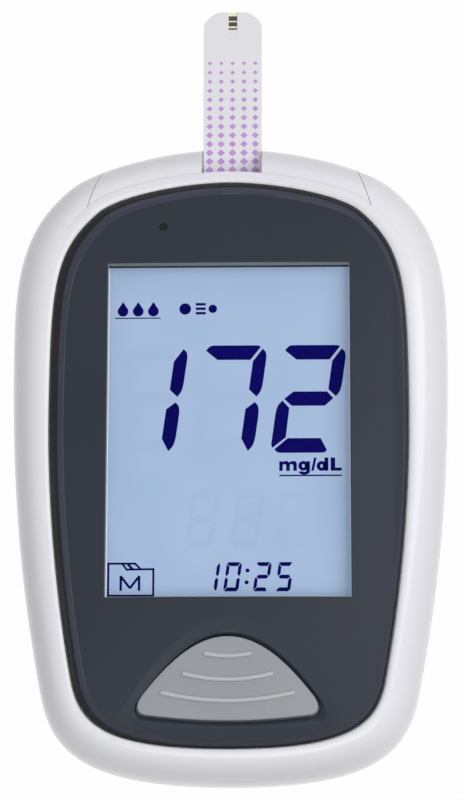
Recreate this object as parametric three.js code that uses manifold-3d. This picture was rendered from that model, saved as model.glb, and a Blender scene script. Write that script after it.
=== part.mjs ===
// A hand-held blood glucose meter with its test strip, lying on its back.
// Millimetres, +Z up out of the display, +Y towards the strip, +X to the right.
import * as THREE from 'three';
import { mergeVertices } from 'three/addons/utils/BufferGeometryUtils.js';
import Module from 'manifold-3d';

const wasm = await Module();
wasm.setup();

// Case. Its width follows from the display, its length and height from what it holds.
const SIDE_BORDER = 5.8;
const TOP_BORDER = 6.8;
const BOTTOM_BORDER = 4.5;
const HEAD_SPACE = 10.1;
const SPLIT_HEIGHT = 13.5;
const SEAM = 0.2;
const WALL = 1.7;
const BACK_INSET = 5.4;
const REST_GAP = 0.3;

// Each outline share is of the half width and the half length, from the top centre
// down the right side to the bottom centre, as four curves of four points.
const BODY_OUTLINE_SHARES = [
  [0, 1], [0.327, 1], [0.643, 0.929], [0.742, 0.875], [0.988, 0.74], [1, 0.564], [1, 0.345],
  [1, -0.108], [0.946, -0.398], [0.856, -0.71], [0.806, -0.884], [0.691, -1], [0, -1],
];
const PLATE_OUTLINE_SHARES = [
  [0, 1], [0.26, 1], [0.631, 0.953], [0.74, 0.891], [0.982, 0.753], [1, 0.635], [1, 0.168],
  [1, -0.188], [0.93, -0.532], [0.857, -0.767], [0.809, -0.922], [0.664, -1], [0, -1],
];
const CURVE_POINTS = 4;
const CURVE_STEPS = 8;
const SHOULDER_STEPS = 5;
const SHOULDER_POWER_SHARE = 0.85;

// Front shell: a shoulder up to a crease, then a rounded bead round the faceplate
const CREASE_RISE = 1.2;
const CREASE_SHARE = 0.76;
const BEAD_RISE = 0.65;
const BEAD_SHARES = [[0.81, 0.62], [0.88, 1], [0.95, 0.85]];
const BEAD_EDGE_RISE = 1.3;
const LEDGE_THICKNESS = 1.4;
const LEDGE_WIDTH = 1.7;

// Top cap: the piece between two slanted seams at the strip end
const CAP_SEAM_X = 17.5;
const CAP_SEAM_INSET = 3.7;
const CAP_SEAM_RUN_X = 2.6;
const CAP_SEAM_RUN_Y = 6.3;

// Faceplate
const PLATE_GAP = 0.2;
const PLATE_EDGE_RISE = 1.4;
const PLATE_BAND = 0.8;
const PLATE_BAND_RISE = 0.65;
const PLATE_BEVEL = 1.2;
const PLATE_BEVEL_RISE = 0.35;
const PLATE_DOME = 1.2;
const PLATE_RIM_WIDTH = 1.9;
const PLATE_RIM_RISE = 1.2;
const DOME_RING_SHARES = [0.86, 0.66, 0.44, 0.22];

// Display
const VIEW_WIDTH = 34;
const VIEW_SIDE_BORDER = 8.2;
const VIEW_TOP_BORDER = 12.1;
const WINDOW_MARGIN = 1.6;
const WINDOW_THICKNESS = 0.8;
const GLASS_MARGIN = 1.8;
const GLASS_TOP_MARGIN = 1.2;
const GLASS_THICKNESS = 1.9;
const BACKLIGHT_THICKNESS = 2.1;
const LCD_FRAME_WALL = 1;
const ZEBRA_WIDTH = 1.9;
const LED_WIDTH = 3;
const LED_DEPTH = 1.2;
const LED_HEIGHT = 1;
const LED_PLACE_SHARE = 0.5;

// Circuit board and what is soldered to it
const BOARD_LIFT = 0.9;
const BOARD_THICKNESS = 1;
const BOARD_SHARE = 0.42;
const PROCESSOR_SIZE = 9;
const PROCESSOR_THICKNESS = 1.3;
const PROCESSOR_X_SHARE = -0.4;
const PROCESSOR_Y_SHARE = 0.52;
const ANALOG_CHIP_WIDTH = 5;
const ANALOG_CHIP_LENGTH = 4;
const ANALOG_CHIP_THICKNESS = 1.2;
const ANALOG_CHIP_X_SHARE = 0.3;
const ANALOG_CHIP_Y_SHARE = 0.82;
const CRYSTAL_LENGTH = 7;
const CRYSTAL_WIDTH = 2.8;
const CRYSTAL_THICKNESS = 2.2;
const CAPACITOR_RADIUS = 2.5;
const CAPACITOR_HEIGHT = 6;
const SIDE_PART_SPACE = 4.3;
const SIDE_PART_Y_SHARE = 0.2;

// Test strip and the port that it stands in
const STRIP_WIDTH = 8.4;
const STRIP_SHOWING = 24.2;
const STRIP_BASE_THICKNESS = 0.3;
const STRIP_COVER_THICKNESS = 0.2;
const STRIP_TIP_WIDTH = 2.4;
const STRIP_TIP_LENGTH = 2.1;
const STRIP_COVER_INSIDE = 0.8;
const FILL_NOTCH_WIDTH = 1.3;
const FILL_NOTCH_LENGTH = 2.7;
const PORT_CENTRE_X = 0.35;
const PORT_MOUTH_INSET = 3.8;
const PORT_SPACE = 0.65;
const PORT_PLAY = 0.15;
const PORT_FLOOR = 0.4;
const PORT_SIDE_WALL = 1.9;
const PORT_BACK_WALL = 2;
const PORT_HEIGHT = 1.9;
const PORT_SETBACK = 1.6;
const CONTACT_COUNT = 4;
const CONTACT_PITCH = 1.7;
const CONTACT_WIDTH = 0.6;
const CONTACT_THICKNESS = 0.2;
const CONTACT_LENGTH = 5.6;
const CONTACT_BEND_SHARE = 0.7;
const CONTACT_GAP = 0.15;
const CONTACT_ROOF = 0.4;

// Main button and its switch
const BUTTON_WIDTH = 24.6;
const BUTTON_LENGTH = 11.5;
const BUTTON_BORDER = 3.8;
const BUTTON_SPACE = 5.4;
const BUTTON_OUTLINE_SHARES = [
  [0, 1], [0.3, 1], [0.6, 0.57], [0.95, -0.4], [1.02, -0.59], [1.04, -0.84], [0.9, -0.875],
  [0.72, -0.92], [0.4, -1], [0, -1],
];
const BUTTON_CLEARANCE = 0.35;
const BUTTON_PROUD = 0.3;
const BUTTON_ROUNDING = 0.3;
const BUTTON_TRAVEL = 0.6;
const BUTTON_FLANGE_WIDTH = 0.55;
const BUTTON_FLANGE_THICKNESS = 1;
const BUTTON_STEM_RADIUS = 2;
const MOAT_WIDTH = 0.9;
const MOAT_DEPTH = 0.45;
const RIDGE_WIDTH = 0.62;
const RIDGE_HEIGHT = 0.25;
const RIDGE_HALF_LENGTH_SHARES = [0.277, 0.517, 0.753];
const RIDGE_PLACE_SHARES = [0.595, 0.12, -0.33];
const RIDGE_SAG_SHARES = [0.1, 0.15, 0.2];
const RIDGE_STEPS = 6;
const SWITCH_SIZE = 6;
const SWITCH_HEIGHT = 2.5;
const PLUNGER_RADIUS = 1.6;
const PLUNGER_HEIGHT = 1.2;
const PLUNGER_CLEARANCE = 0.25;

// Battery bay, cells, contacts and door
const CELL_RADIUS = 5.25;
const CELL_LENGTH = 44.5;
const CELL_NUB_RADIUS = 1.9;
const CELL_NUB_LENGTH = 1;
const CELL_SIDE_GAP = 0.8;
const BAY_CLEARANCE = 0.3;
const BAY_END_SPACE = 2.25;
const DOOR_BORDER = 5.9;
const BAY_WALL = 1.2;
const BAY_CEILING = 0.9;
const CONTACT_PLATE_THICKNESS = 0.4;
const CONTACT_PLATE_SHARE = 0.7;
const SPRING_RADIUS = 2.6;
const SPRING_TIP_RADIUS = 1.4;
const BUMP_RADIUS = 2.2;
const BUMP_HEIGHT = 0.5;
const TAB_WIDTH = 2;
const DOOR_THICKNESS = 1.5;
const DOOR_RECESS = 0.2;
const DOOR_GAP = 0.3;
const DOOR_SEAT = 1.9;
const DOOR_OVERHANG = 2;
const DOOR_CORNER = 2.5;
const DOOR_CORNER_STEPS = 4;
const HOOK_WIDTH = 1.7;
const HOOK_REACH = 1.6;
const HOOK_THICKNESS = 0.6;
const LATCH_WIDTH = 10;
const LATCH_LENGTH = 5.5;
const LATCH_SLOT = 0.7;
const GRIP_COUNT = 3;
const GRIP_PITCH = 1.3;
const GRIP_WIDTH = 0.5;
const GRIP_HEIGHT = 0.2;

// Set button in a pocket beside the cells, under the same door
const SET_POCKET_WIDTH = 8;
const SET_POCKET_LENGTH = 4.6;
const SET_POCKET_HEIGHT = 8;
const SET_BUTTON_RADIUS = 1.4;
const SET_BUTTON_DROP = 1.4;
const SET_FLANGE_RADIUS = 2;
const SET_FLANGE_THICKNESS = 0.8;
const SET_CLEARANCE = 0.3;
const SET_SWITCH_SIZE = 4;
const SET_SWITCH_HEIGHT = 2.2;
const SET_PLUNGER_RADIUS = 0.9;
const SET_TRAVEL = 0.5;

// Sounder on the inside of the back
const SOUNDER_RADIUS = 7;
const SOUNDER_SPACE = 2.3;
const SOUNDER_PLATE = 0.3;
const SOUNDER_CERAMIC_RADIUS = 4.8;
const SOUNDER_CERAMIC = 0.25;
const SOUNDER_RING_WALL = 1;
const SOUNDER_RING_HEIGHT = 1.6;
const SOUND_HOLE_RADIUS = 0.7;
const SOUND_HOLE_COUNT = 6;
const SOUND_HOLE_PITCH = 2.4;
const SOUNDER_SPRING_RADIUS = 0.8;

// Sensor behind the small hole in the faceplate
const SENSOR_X = -9.25;
const SENSOR_SPACE = 1.6;
const SENSOR_HOLE_RADIUS = 0.56;
const SENSOR_LENS_RADIUS = 1.2;
const SENSOR_TIP_RADIUS = 0.32;
const SENSOR_CHIP_SIZE = 2;
const SENSOR_CHIP_HEIGHT = 0.8;

// Case screws
const UPPER_SCREW_SIDE = 7.75;
const UPPER_SCREW_END = 13.75;
const LOWER_SCREW_SIDE = 9.5;
const LOWER_SCREW_END = 13;
const SCREW_SHANK_RADIUS = 1;
const SCREW_HEAD_RADIUS = 1.9;
const SCREW_HEAD_HEIGHT = 1.4;
const SCREW_CROSS_WIDTH = 0.6;
const SCREW_CROSS_DEPTH = 0.7;
const SCREW_CLEARANCE = 0.3;
const SCREW_LENGTH = 9.6;
const SCREW_TUBE_WALL = 1;
const SCREW_RECESS = 7.9;
const BOSS_RADIUS = 2.5;
const BOSS_ROOT = 0.9;

const ROUND = 20;
const SMALL_ROUND = 12;
const OVERRUN = 1;

const material = (color, roughness, metalness = 0, extra = {}) =>
  new THREE.MeshStandardMaterial({ color, roughness, metalness, ...extra });
const WHITE_PLASTIC = material(0xe4e4ea, 0.18);
const CHARCOAL_PLASTIC = material(0x3d424b, 0.42);
const GREY_BUTTON = material(0x9ea1a5, 0.45);
const CLEAR_PLASTIC = material(0xdce6f0, 0.05, 0, { transparent: true, opacity: 0.3 });
const DISPLAY = material(0xa5bede, 0.25);
const WHITE_DIFFUSER = material(0xf2f4f8, 0.5);
const BLACK_PLASTIC = material(0x1c1d20, 0.5);
const BLACK_RUBBER = material(0x252528, 0.8);
const BOARD_GREEN = material(0x1f5a35, 0.4);
const STEEL = material(0xb8babd, 0.3, 1);
const GOLD = material(0xd4af5a, 0.3, 1);
const BRASS = material(0xc8a45a, 0.35, 1);
const CERAMIC = material(0xeeece4, 0.4);
const STRIP_WHITE = material(0xe6e6ea, 0.35);
const CELL_JACKET = material(0x3a6f9c, 0.3);

// Sizes that follow from the ones above
const PLATE_HALF_WIDTH = VIEW_WIDTH / 2 + VIEW_SIDE_BORDER;
const HALF_WIDTH = PLATE_HALF_WIDTH + SIDE_BORDER;
const BAY_HALF_LENGTH = CELL_LENGTH / 2 + BAY_END_SPACE;
const SOUNDER_RING_RADIUS = SOUNDER_RADIUS + REST_GAP + SOUNDER_RING_WALL;
const BAY_FROM_END = DOOR_BORDER + BAY_WALL / 2 + SET_POCKET_LENGTH + BAY_WALL;
const SOUNDER_FROM_BAY = BAY_WALL + SOUNDER_SPACE + SOUNDER_RING_RADIUS;
const BODY_LENGTH = BAY_FROM_END + 2 * BAY_HALF_LENGTH + SOUNDER_FROM_BAY
  + SOUNDER_RING_RADIUS + HEAD_SPACE;
const HALF_LENGTH = BODY_LENGTH / 2;
const PLATE_Y0 = BOTTOM_BORDER - HALF_LENGTH;
const PLATE_Y1 = HALF_LENGTH - TOP_BORDER;
const PLATE_HALF_LENGTH = (PLATE_Y1 - PLATE_Y0) / 2;
const PLATE_CENTRE_Y = (PLATE_Y0 + PLATE_Y1) / 2;
const WALL_SHARE = WALL / SIDE_BORDER;
const BACK_SHARE = BACK_INSET / SIDE_BORDER;
const LEDGE_SHARE = 1 + LEDGE_WIDTH / SIDE_BORDER;
const DOOR_BOTTOM = DOOR_RECESS;
const DOOR_TOP = DOOR_BOTTOM + DOOR_THICKNESS;
const SEAT_BOTTOM = DOOR_TOP + REST_GAP;
const CELL_BOTTOM = DOOR_TOP + REST_GAP;
const CELL_HEIGHT = CELL_BOTTOM + CELL_RADIUS;
const CELL_X = CELL_RADIUS + CELL_SIDE_GAP / 2;
const BAY_HALF_WIDTH = CELL_X + CELL_RADIUS + BAY_CLEARANCE;
const BAY_TOP = CELL_HEIGHT + CELL_RADIUS + BAY_CLEARANCE;
const BAY_Y0 = BAY_FROM_END - HALF_LENGTH;
const BAY_Y1 = BAY_Y0 + 2 * BAY_HALF_LENGTH;
const BAY_CENTRE_Y = (BAY_Y0 + BAY_Y1) / 2;
const SOUNDER_Y = BAY_Y1 + SOUNDER_FROM_BAY;
const POCKET_Y1 = BAY_Y0 - BAY_WALL;
const POCKET_Y0 = POCKET_Y1 - SET_POCKET_LENGTH;
const DOOR_HALF_WIDTH = BAY_HALF_WIDTH + DOOR_SEAT;
const DOOR_Y0 = POCKET_Y0 - BAY_WALL / 2;
const DOOR_Y1 = BAY_Y1 - DOOR_OVERHANG;
const BOARD_BOTTOM = BAY_TOP + BAY_CEILING + BOARD_LIFT;
const BOARD_TOP = BOARD_BOTTOM + BOARD_THICKNESS;
const UNDER_BOARD = BOARD_BOTTOM - REST_GAP;
const ON_BOARD = BOARD_TOP + REST_GAP;
const BACKLIGHT_BOTTOM = ON_BOARD;
const BACKLIGHT_TOP = BACKLIGHT_BOTTOM + BACKLIGHT_THICKNESS;
const GLASS_BOTTOM = BACKLIGHT_TOP + REST_GAP;
const GLASS_TOP = GLASS_BOTTOM + GLASS_THICKNESS;
const SEAT_HEIGHT = GLASS_TOP;
const CREASE_HEIGHT = SEAT_HEIGHT + CREASE_RISE;
const BEAD_HEIGHT = CREASE_HEIGHT + BEAD_RISE;
const BEAD_EDGE_HEIGHT = SEAT_HEIGHT + BEAD_EDGE_RISE;
const PLATE_EDGE_HEIGHT = SEAT_HEIGHT + PLATE_EDGE_RISE;
const PLATE_BAND_HEIGHT = PLATE_EDGE_HEIGHT + PLATE_BAND_RISE;
const PLATE_BEVEL_HEIGHT = PLATE_BAND_HEIGHT + PLATE_BEVEL_RISE;
const PLATE_FLOOR = SEAT_HEIGHT + REST_GAP;
const PLATE_CEILING = PLATE_FLOOR + PLATE_RIM_RISE;
const WINDOW_TOP = PLATE_CEILING - REST_GAP;
const BUTTON_CENTRE_Y = PLATE_Y0 + BUTTON_BORDER + BUTTON_LENGTH / 2;
const VIEW_Y0 = BUTTON_CENTRE_Y + BUTTON_LENGTH / 2 + BUTTON_SPACE;
const VIEW_Y1 = PLATE_Y1 - VIEW_TOP_BORDER;
const GLASS_HALF_WIDTH = VIEW_WIDTH / 2 + GLASS_MARGIN;
const GLASS_Y0 = VIEW_Y0 - GLASS_MARGIN;
const GLASS_Y1 = VIEW_Y1 + GLASS_TOP_MARGIN;
const FRAME_OUTSIDE = REST_GAP + LCD_FRAME_WALL;
const SENSOR_Y = GLASS_Y1 + FRAME_OUTSIDE + SENSOR_SPACE + SENSOR_LENS_RADIUS;
const CAP_SEAM_Y = HALF_LENGTH - CAP_SEAM_INSET;
const PORT_MOUTH_Y = HALF_LENGTH - PORT_MOUTH_INSET;
const STRIP_TIP_Y = PORT_MOUTH_Y + STRIP_SHOWING;
const STRIP_END_Y = GLASS_Y1 + FRAME_OUTSIDE + PORT_SPACE + PORT_BACK_WALL + PORT_PLAY;
const STRIP_BOTTOM = ON_BOARD + PORT_FLOOR + PORT_PLAY;
const STRIP_JOIN = STRIP_BOTTOM + STRIP_BASE_THICKNESS;
const STRIP_TOP = STRIP_JOIN + STRIP_COVER_THICKNESS;
const ABOVE_ALL = PLATE_BEVEL_HEIGHT + PLATE_DOME + OVERRUN;

// Solids: a closed geometry becomes a manifold to be cut or joined
function solid(geometry) {
  const bare = geometry.clone();
  bare.deleteAttribute('normal');
  bare.deleteAttribute('uv');
  const merged = mergeVertices(bare);
  return new wasm.Manifold(new wasm.Mesh({
    numProp: 3,
    vertProperties: new Float32Array(merged.attributes.position.array),
    triVerts: new Uint32Array(merged.index.array),
  }));
}

function geometryOf(manifold) {
  const mesh = manifold.getMesh();
  const geometry = new THREE.BufferGeometry();
  geometry.setAttribute('position', new THREE.Float32BufferAttribute(mesh.vertProperties, 3));
  geometry.setIndex(Array.from(mesh.triVerts));
  geometry.computeVertexNormals();
  return geometry;
}

const joined = (...geometries) => geometries.map(solid).reduce((sum, next) => sum.add(next));
const cut = (from, ...geometries) => geometries.reduce((rest, g) => rest.subtract(solid(g)), from);

function block(x0, x1, y0, y1, z0, z1) {
  const geometry = new THREE.BoxGeometry(x1 - x0, y1 - y0, z1 - z0);
  return geometry.translate((x0 + x1) / 2, (y0 + y1) / 2, (z0 + z1) / 2);
}

const centredBlock = (x, y, width, length, z0, z1) =>
  block(x - width / 2, x + width / 2, y - length / 2, y + length / 2, z0, z1);

function rod(x, y, radius, z0, z1, sides = ROUND, topRadius = radius) {
  const geometry = new THREE.CylinderGeometry(topRadius, radius, z1 - z0, sides);
  return geometry.rotateX(Math.PI / 2).translate(x, y, (z0 + z1) / 2);
}

function prism(points, z0, z1) {
  const geometry = new THREE.ExtrudeGeometry(new THREE.Shape(points), {
    depth: z1 - z0, bevelEnabled: false,
  });
  return geometry.translate(0, 0, z0);
}

// A closed surface through rings of equal counts, each anticlockwise seen from above.
// An open loft gets a flat end on its first and last ring.
function loft(rings, closed = false) {
  const count = rings[0].length;
  const positions = rings.flat().flatMap((p) => [p.x, p.y, p.z]);
  const index = [];
  const last = closed ? rings.length : rings.length - 1;
  for (let j = 0; j < last; j += 1) {
    const up = ((j + 1) % rings.length) * count;
    for (let i = 0; i < count; i += 1) {
      const next = (i + 1) % count;
      index.push(j * count + i, j * count + next, up + next);
      index.push(j * count + i, up + next, up + i);
    }
  }
  if (!closed) {
    [[rings[0], 0, true], [rings.at(-1), (rings.length - 1) * count, false]].forEach(
      ([ring, start, down]) => {
        const centre = ring.reduce((sum, p) => sum.add(p), new THREE.Vector3());
        centre.divideScalar(count);
        const middle = positions.length / 3;
        positions.push(centre.x, centre.y, centre.z);
        for (let i = 0; i < count; i += 1) {
          const next = (i + 1) % count;
          if (down) index.push(middle, start + next, start + i);
          else index.push(middle, start + i, start + next);
        }
      },
    );
  }
  const geometry = new THREE.BufferGeometry();
  geometry.setAttribute('position', new THREE.Float32BufferAttribute(positions, 3));
  geometry.setIndex(index);
  return geometry;
}

// The whole outline, anticlockwise from the bottom centre
function outline(shares, halfWidth, halfLength, centreY) {
  const right = [];
  for (let start = 0; start + CURVE_POINTS <= shares.length; start += CURVE_POINTS - 1) {
    const ends = shares.slice(start, start + CURVE_POINTS);
    const points = ends.map(([x, y]) => new THREE.Vector2(x, y));
    const curve = new THREE.CubicBezierCurve(...points);
    right.push(...curve.getPoints(CURVE_STEPS).slice(start ? 1 : 0));
  }
  const left = right.slice(1, -1).map((p) => new THREE.Vector2(-p.x, p.y));
  return [...right.reverse(), ...left].map(
    (p) => new THREE.Vector2(p.x * halfWidth, p.y * halfLength + centreY),
  );
}

const BODY_OUTLINE = outline(BODY_OUTLINE_SHARES, HALF_WIDTH, HALF_LENGTH, 0);
const PLATE_OUTLINE = outline(
  PLATE_OUTLINE_SHARES, PLATE_HALF_WIDTH, PLATE_HALF_LENGTH, PLATE_CENTRE_Y,
);

const raised = (points, z) => points.map((p) => new THREE.Vector3(p.x, p.y, z));
// Share 0 is the widest outline of the case, and 1 the edge of the faceplate
const between = (share) => BODY_OUTLINE.map((p, i) => p.clone().lerp(PLATE_OUTLINE[i], share));
const ringAt = ([share, z]) => raised(between(share), z);

const grown = (shares, halfWidth, halfLength, centreY, margin) =>
  outline(shares, halfWidth + margin, halfLength + margin, centreY);
const plateOutline = (inset) => grown(
  PLATE_OUTLINE_SHARES, PLATE_HALF_WIDTH, PLATE_HALF_LENGTH, PLATE_CENTRE_Y, -inset,
);
const buttonOutline = (margin) => grown(
  BUTTON_OUTLINE_SHARES, BUTTON_WIDTH / 2, BUTTON_LENGTH / 2, BUTTON_CENTRE_Y, margin,
);

// A quarter of a rounded arch from one corner of the section to the other
function arch(share0, share1, z0, z1, power = 1) {
  return Array.from({ length: SHOULDER_STEPS + 1 }, (_, k) => {
    const turn = (k / SHOULDER_STEPS) * (Math.PI / 2);
    const across = k === SHOULDER_STEPS ? 1 : 1 - Math.cos(turn) ** power;
    return [share0 + (share1 - share0) * across, z0 + (z1 - z0) * Math.sin(turn) ** power];
  });
}

// Height of the domed faceplate above its bevel
function domeAt(x, y) {
  const halfWidth = PLATE_HALF_WIDTH - PLATE_BAND - PLATE_BEVEL;
  const halfLength = PLATE_HALF_LENGTH - PLATE_BAND - PLATE_BEVEL;
  const across = Math.max(0, 1 - (x / halfWidth) ** 2);
  const along = Math.max(0, 1 - ((y - PLATE_CENTRE_Y) / halfLength) ** 2);
  return PLATE_DOME * across * along;
}
const domed = (points, z) =>
  points.map((p) => new THREE.Vector3(p.x, p.y, z + domeAt(p.x, p.y)));

const domelessRing = (inset, z) => raised(plateOutline(inset), z);

const model = new THREE.Group();
function add(name, shape, look) {
  const geometry = shape.isBufferGeometry ? shape : geometryOf(shape);
  const mesh = new THREE.Mesh(geometry, look);
  mesh.name = name;
  model.add(mesh);
}

const screwPlaces = [
  [HALF_WIDTH - UPPER_SCREW_SIDE, HALF_LENGTH - UPPER_SCREW_END],
  [HALF_WIDTH - LOWER_SCREW_SIDE, LOWER_SCREW_END - HALF_LENGTH],
].flatMap(([x, y]) => [-1, 1].map((side) => [side * x, y]));
const SCREW_END = SCREW_RECESS - REST_GAP + SCREW_LENGTH;

function roundedRectangle(x0, x1, y0, y1, radius) {
  const corners = [
    [x1 - radius, y0 + radius, -1], [x1 - radius, y1 - radius, 0],
    [x0 + radius, y1 - radius, 1], [x0 + radius, y0 + radius, 2],
  ];
  return corners.flatMap(([x, y, quarter]) =>
    Array.from({ length: DOOR_CORNER_STEPS + 1 }, (_, k) => {
      const turn = (quarter + k / DOOR_CORNER_STEPS) * (Math.PI / 2);
      return new THREE.Vector2(x + radius * Math.cos(turn), y + radius * Math.sin(turn));
    }));
}

const SET_X = 0;
const SET_Y = (POCKET_Y0 + POCKET_Y1) / 2;
const POCKET_TOP = SET_POCKET_HEIGHT + BAY_WALL;

function contactTabs() {
  return [-1, 1].flatMap((end) => [-1, 1].map((side) => [side * CELL_X, end]))
    .filter(([x, end]) => end > 0 || x > 0)
    .map(([x, end]) => [x, BAY_CENTRE_Y + end * (BAY_HALF_LENGTH - REST_GAP / 2), end]);
}

function addRearShell() {
  const top = SPLIT_HEIGHT - SEAM / 2;
  const outside = arch(0, BACK_SHARE, top, 0, SHOULDER_POWER_SHARE).reverse();
  const inside = arch(WALL_SHARE, BACK_SHARE + WALL_SHARE / 2, top, WALL, SHOULDER_POWER_SHARE);
  const bowl = loft([...outside, ...inside].map(ringAt));
  const slabTop = SEAT_BOTTOM + BAY_WALL;
  const seat = block(
    -DOOR_HALF_WIDTH - BAY_WALL, DOOR_HALF_WIDTH + BAY_WALL,
    DOOR_Y0 - BAY_WALL, BAY_Y1 + BAY_WALL, WALL / 2, slabTop,
  );
  const bay = block(
    -BAY_HALF_WIDTH - BAY_WALL, BAY_HALF_WIDTH + BAY_WALL,
    BAY_Y0 - BAY_WALL, BAY_Y1 + BAY_WALL, WALL, BAY_TOP + BAY_CEILING,
  );
  const pocket = centredBlock(
    SET_X, SET_Y, SET_POCKET_WIDTH + 2 * BAY_WALL, SET_POCKET_LENGTH + 2 * BAY_WALL,
    WALL, POCKET_TOP,
  );
  const tubeRadius = SCREW_HEAD_RADIUS + SCREW_CLEARANCE + SCREW_TUBE_WALL;
  const tubes = screwPlaces.map(([x, y]) => rod(x, y, tubeRadius, WALL / 2, UNDER_BOARD, SMALL_ROUND));
  const ring = rod(0, SOUNDER_Y, SOUNDER_RING_RADIUS, WALL / 2, WALL + SOUNDER_RING_HEIGHT);
  const innerShare = WALL_SHARE + REST_GAP / SIDE_BORDER;
  const skin = loft([...outside, [innerShare, top], [innerShare, UNDER_BOARD]].map(ringAt));
  const fittings = joined(seat, bay, pocket, ...tubes, ring).intersect(solid(skin));
  let shell = solid(bowl).add(fittings);
  const recess = prism(roundedRectangle(
    -DOOR_HALF_WIDTH - DOOR_GAP, DOOR_HALF_WIDTH + DOOR_GAP,
    DOOR_Y0 - DOOR_GAP, DOOR_Y1 + DOOR_GAP, DOOR_CORNER,
  ), -OVERRUN, SEAT_BOTTOM);
  const bayInside = block(
    -BAY_HALF_WIDTH, BAY_HALF_WIDTH, BAY_Y0, BAY_Y1, SEAT_BOTTOM - REST_GAP, BAY_TOP,
  );
  const pocketInside = centredBlock(
    SET_X, SET_Y, SET_POCKET_WIDTH, SET_POCKET_LENGTH, WALL, SET_POCKET_HEIGHT,
  );
  const setHole = rod(
    SET_X, SET_Y, SET_BUTTON_RADIUS + SET_CLEARANCE, SET_POCKET_HEIGHT - OVERRUN,
    POCKET_TOP + OVERRUN, SMALL_ROUND,
  );
  const sounderSeat = rod(
    0, SOUNDER_Y, SOUNDER_RADIUS + REST_GAP, WALL, WALL + SOUNDER_RING_HEIGHT + OVERRUN,
  );
  const soundHoles = Array.from({ length: SOUND_HOLE_COUNT + 1 }, (_, k) => {
    const turn = (k / SOUND_HOLE_COUNT) * 2 * Math.PI;
    const reach = k < SOUND_HOLE_COUNT ? SOUND_HOLE_PITCH : 0;
    return rod(
      reach * Math.cos(turn), SOUNDER_Y + reach * Math.sin(turn), SOUND_HOLE_RADIUS,
      -OVERRUN, WALL + OVERRUN, SMALL_ROUND,
    );
  });
  const bores = screwPlaces.flatMap(([x, y]) => [
    rod(x, y, SCREW_HEAD_RADIUS + SCREW_CLEARANCE, -OVERRUN, SCREW_RECESS, SMALL_ROUND),
    rod(x, y, SCREW_SHANK_RADIUS + SCREW_CLEARANCE, 0, UNDER_BOARD + OVERRUN, SMALL_ROUND),
  ]);
  const slots = contactTabs().map(([x, y]) => centredBlock(
    x, y, TAB_WIDTH + 2 * REST_GAP, CONTACT_PLATE_THICKNESS + 3 * REST_GAP,
    BAY_TOP - OVERRUN, BAY_TOP + BAY_CEILING + OVERRUN,
  ));
  shell = cut(
    shell, recess, bayInside, pocketInside, setHole, sounderSeat, ...soundHoles, ...bores, ...slots,
  );
  add('rear_shell', shell, WHITE_PLASTIC);
}

// Front shell section: up the shoulder, over the bead, round the ledge and back down inside
function frontSection() {
  const bottom = SPLIT_HEIGHT + SEAM / 2;
  const shoulder = arch(0, CREASE_SHARE, bottom, CREASE_HEIGHT);
  const bead = BEAD_SHARES.map(([share, rise]) =>
    [share, CREASE_HEIGHT + rise * (BEAD_HEIGHT - CREASE_HEIGHT)]);
  const ledgeBottom = SEAT_HEIGHT - LEDGE_THICKNESS;
  const edge = [
    [1, BEAD_EDGE_HEIGHT], [1, SEAT_HEIGHT], [LEDGE_SHARE, SEAT_HEIGHT],
    [LEDGE_SHARE, ledgeBottom],
  ];
  const inside = arch(WALL_SHARE, 1, bottom, ledgeBottom).reverse();
  return [...shoulder, ...bead, ...edge, ...inside];
}

// Plan of the top cap: out from the crease between the two seams, each seam moved by gap
function capPlan(gap) {
  const reach = OVERRUN / CAP_SEAM_RUN_Y;
  const lift = (HALF_LENGTH - CAP_SEAM_Y) / CAP_SEAM_RUN_Y + reach;
  const innerX = CAP_SEAM_X + CAP_SEAM_RUN_X + gap;
  const innerY = CAP_SEAM_Y - CAP_SEAM_RUN_Y;
  const outerX = CAP_SEAM_X - CAP_SEAM_RUN_X * lift + gap;
  const crease = between(CREASE_SHARE + gap / SIDE_BORDER)
    .filter((p) => p.y > innerY - gap && Math.abs(p.x) < innerX);
  return [
    new THREE.Vector2(innerX, innerY - gap),
    new THREE.Vector2(outerX, HALF_LENGTH + OVERRUN),
    new THREE.Vector2(-outerX, HALF_LENGTH + OVERRUN),
    new THREE.Vector2(-innerX, innerY - gap),
    ...crease.reverse(),
  ];
}

const NOTCH_HALF_WIDTH = STRIP_WIDTH / 2 + PORT_PLAY;

function addFrontShellAndCap() {
  const ring = loft(frontSection().map(ringAt), true);
  const bosses = screwPlaces.map(([x, y]) =>
    rod(x, y, BOSS_RADIUS, ON_BOARD, SEAT_HEIGHT - LEDGE_THICKNESS + BOSS_ROOT));
  const holes = screwPlaces.map(([x, y]) => rod(
    x, y, SCREW_SHANK_RADIUS + SCREW_CLEARANCE, ON_BOARD - OVERRUN, SCREW_END + REST_GAP,
    SMALL_ROUND,
  ));
  const capSpace = prism(capPlan(SEAM / 2), 0, BEAD_HEIGHT + OVERRUN);
  const front = cut(solid(ring), capSpace);
  const bossed = bosses.map(solid).reduce((sum, boss) => sum.add(boss), front);
  add('front_shell', cut(bossed, ...holes), WHITE_PLASTIC);

  const notch = block(
    PORT_CENTRE_X - NOTCH_HALF_WIDTH, PORT_CENTRE_X + NOTCH_HALF_WIDTH,
    0, HALF_LENGTH + OVERRUN, STRIP_BOTTOM - PORT_PLAY, BEAD_HEIGHT + OVERRUN,
  );
  const cap = solid(ring).intersect(solid(prism(capPlan(-SEAM / 2), 0, BEAD_HEIGHT + OVERRUN)));
  add('top_cap', cut(cap, notch), WHITE_PLASTIC);
}

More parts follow.
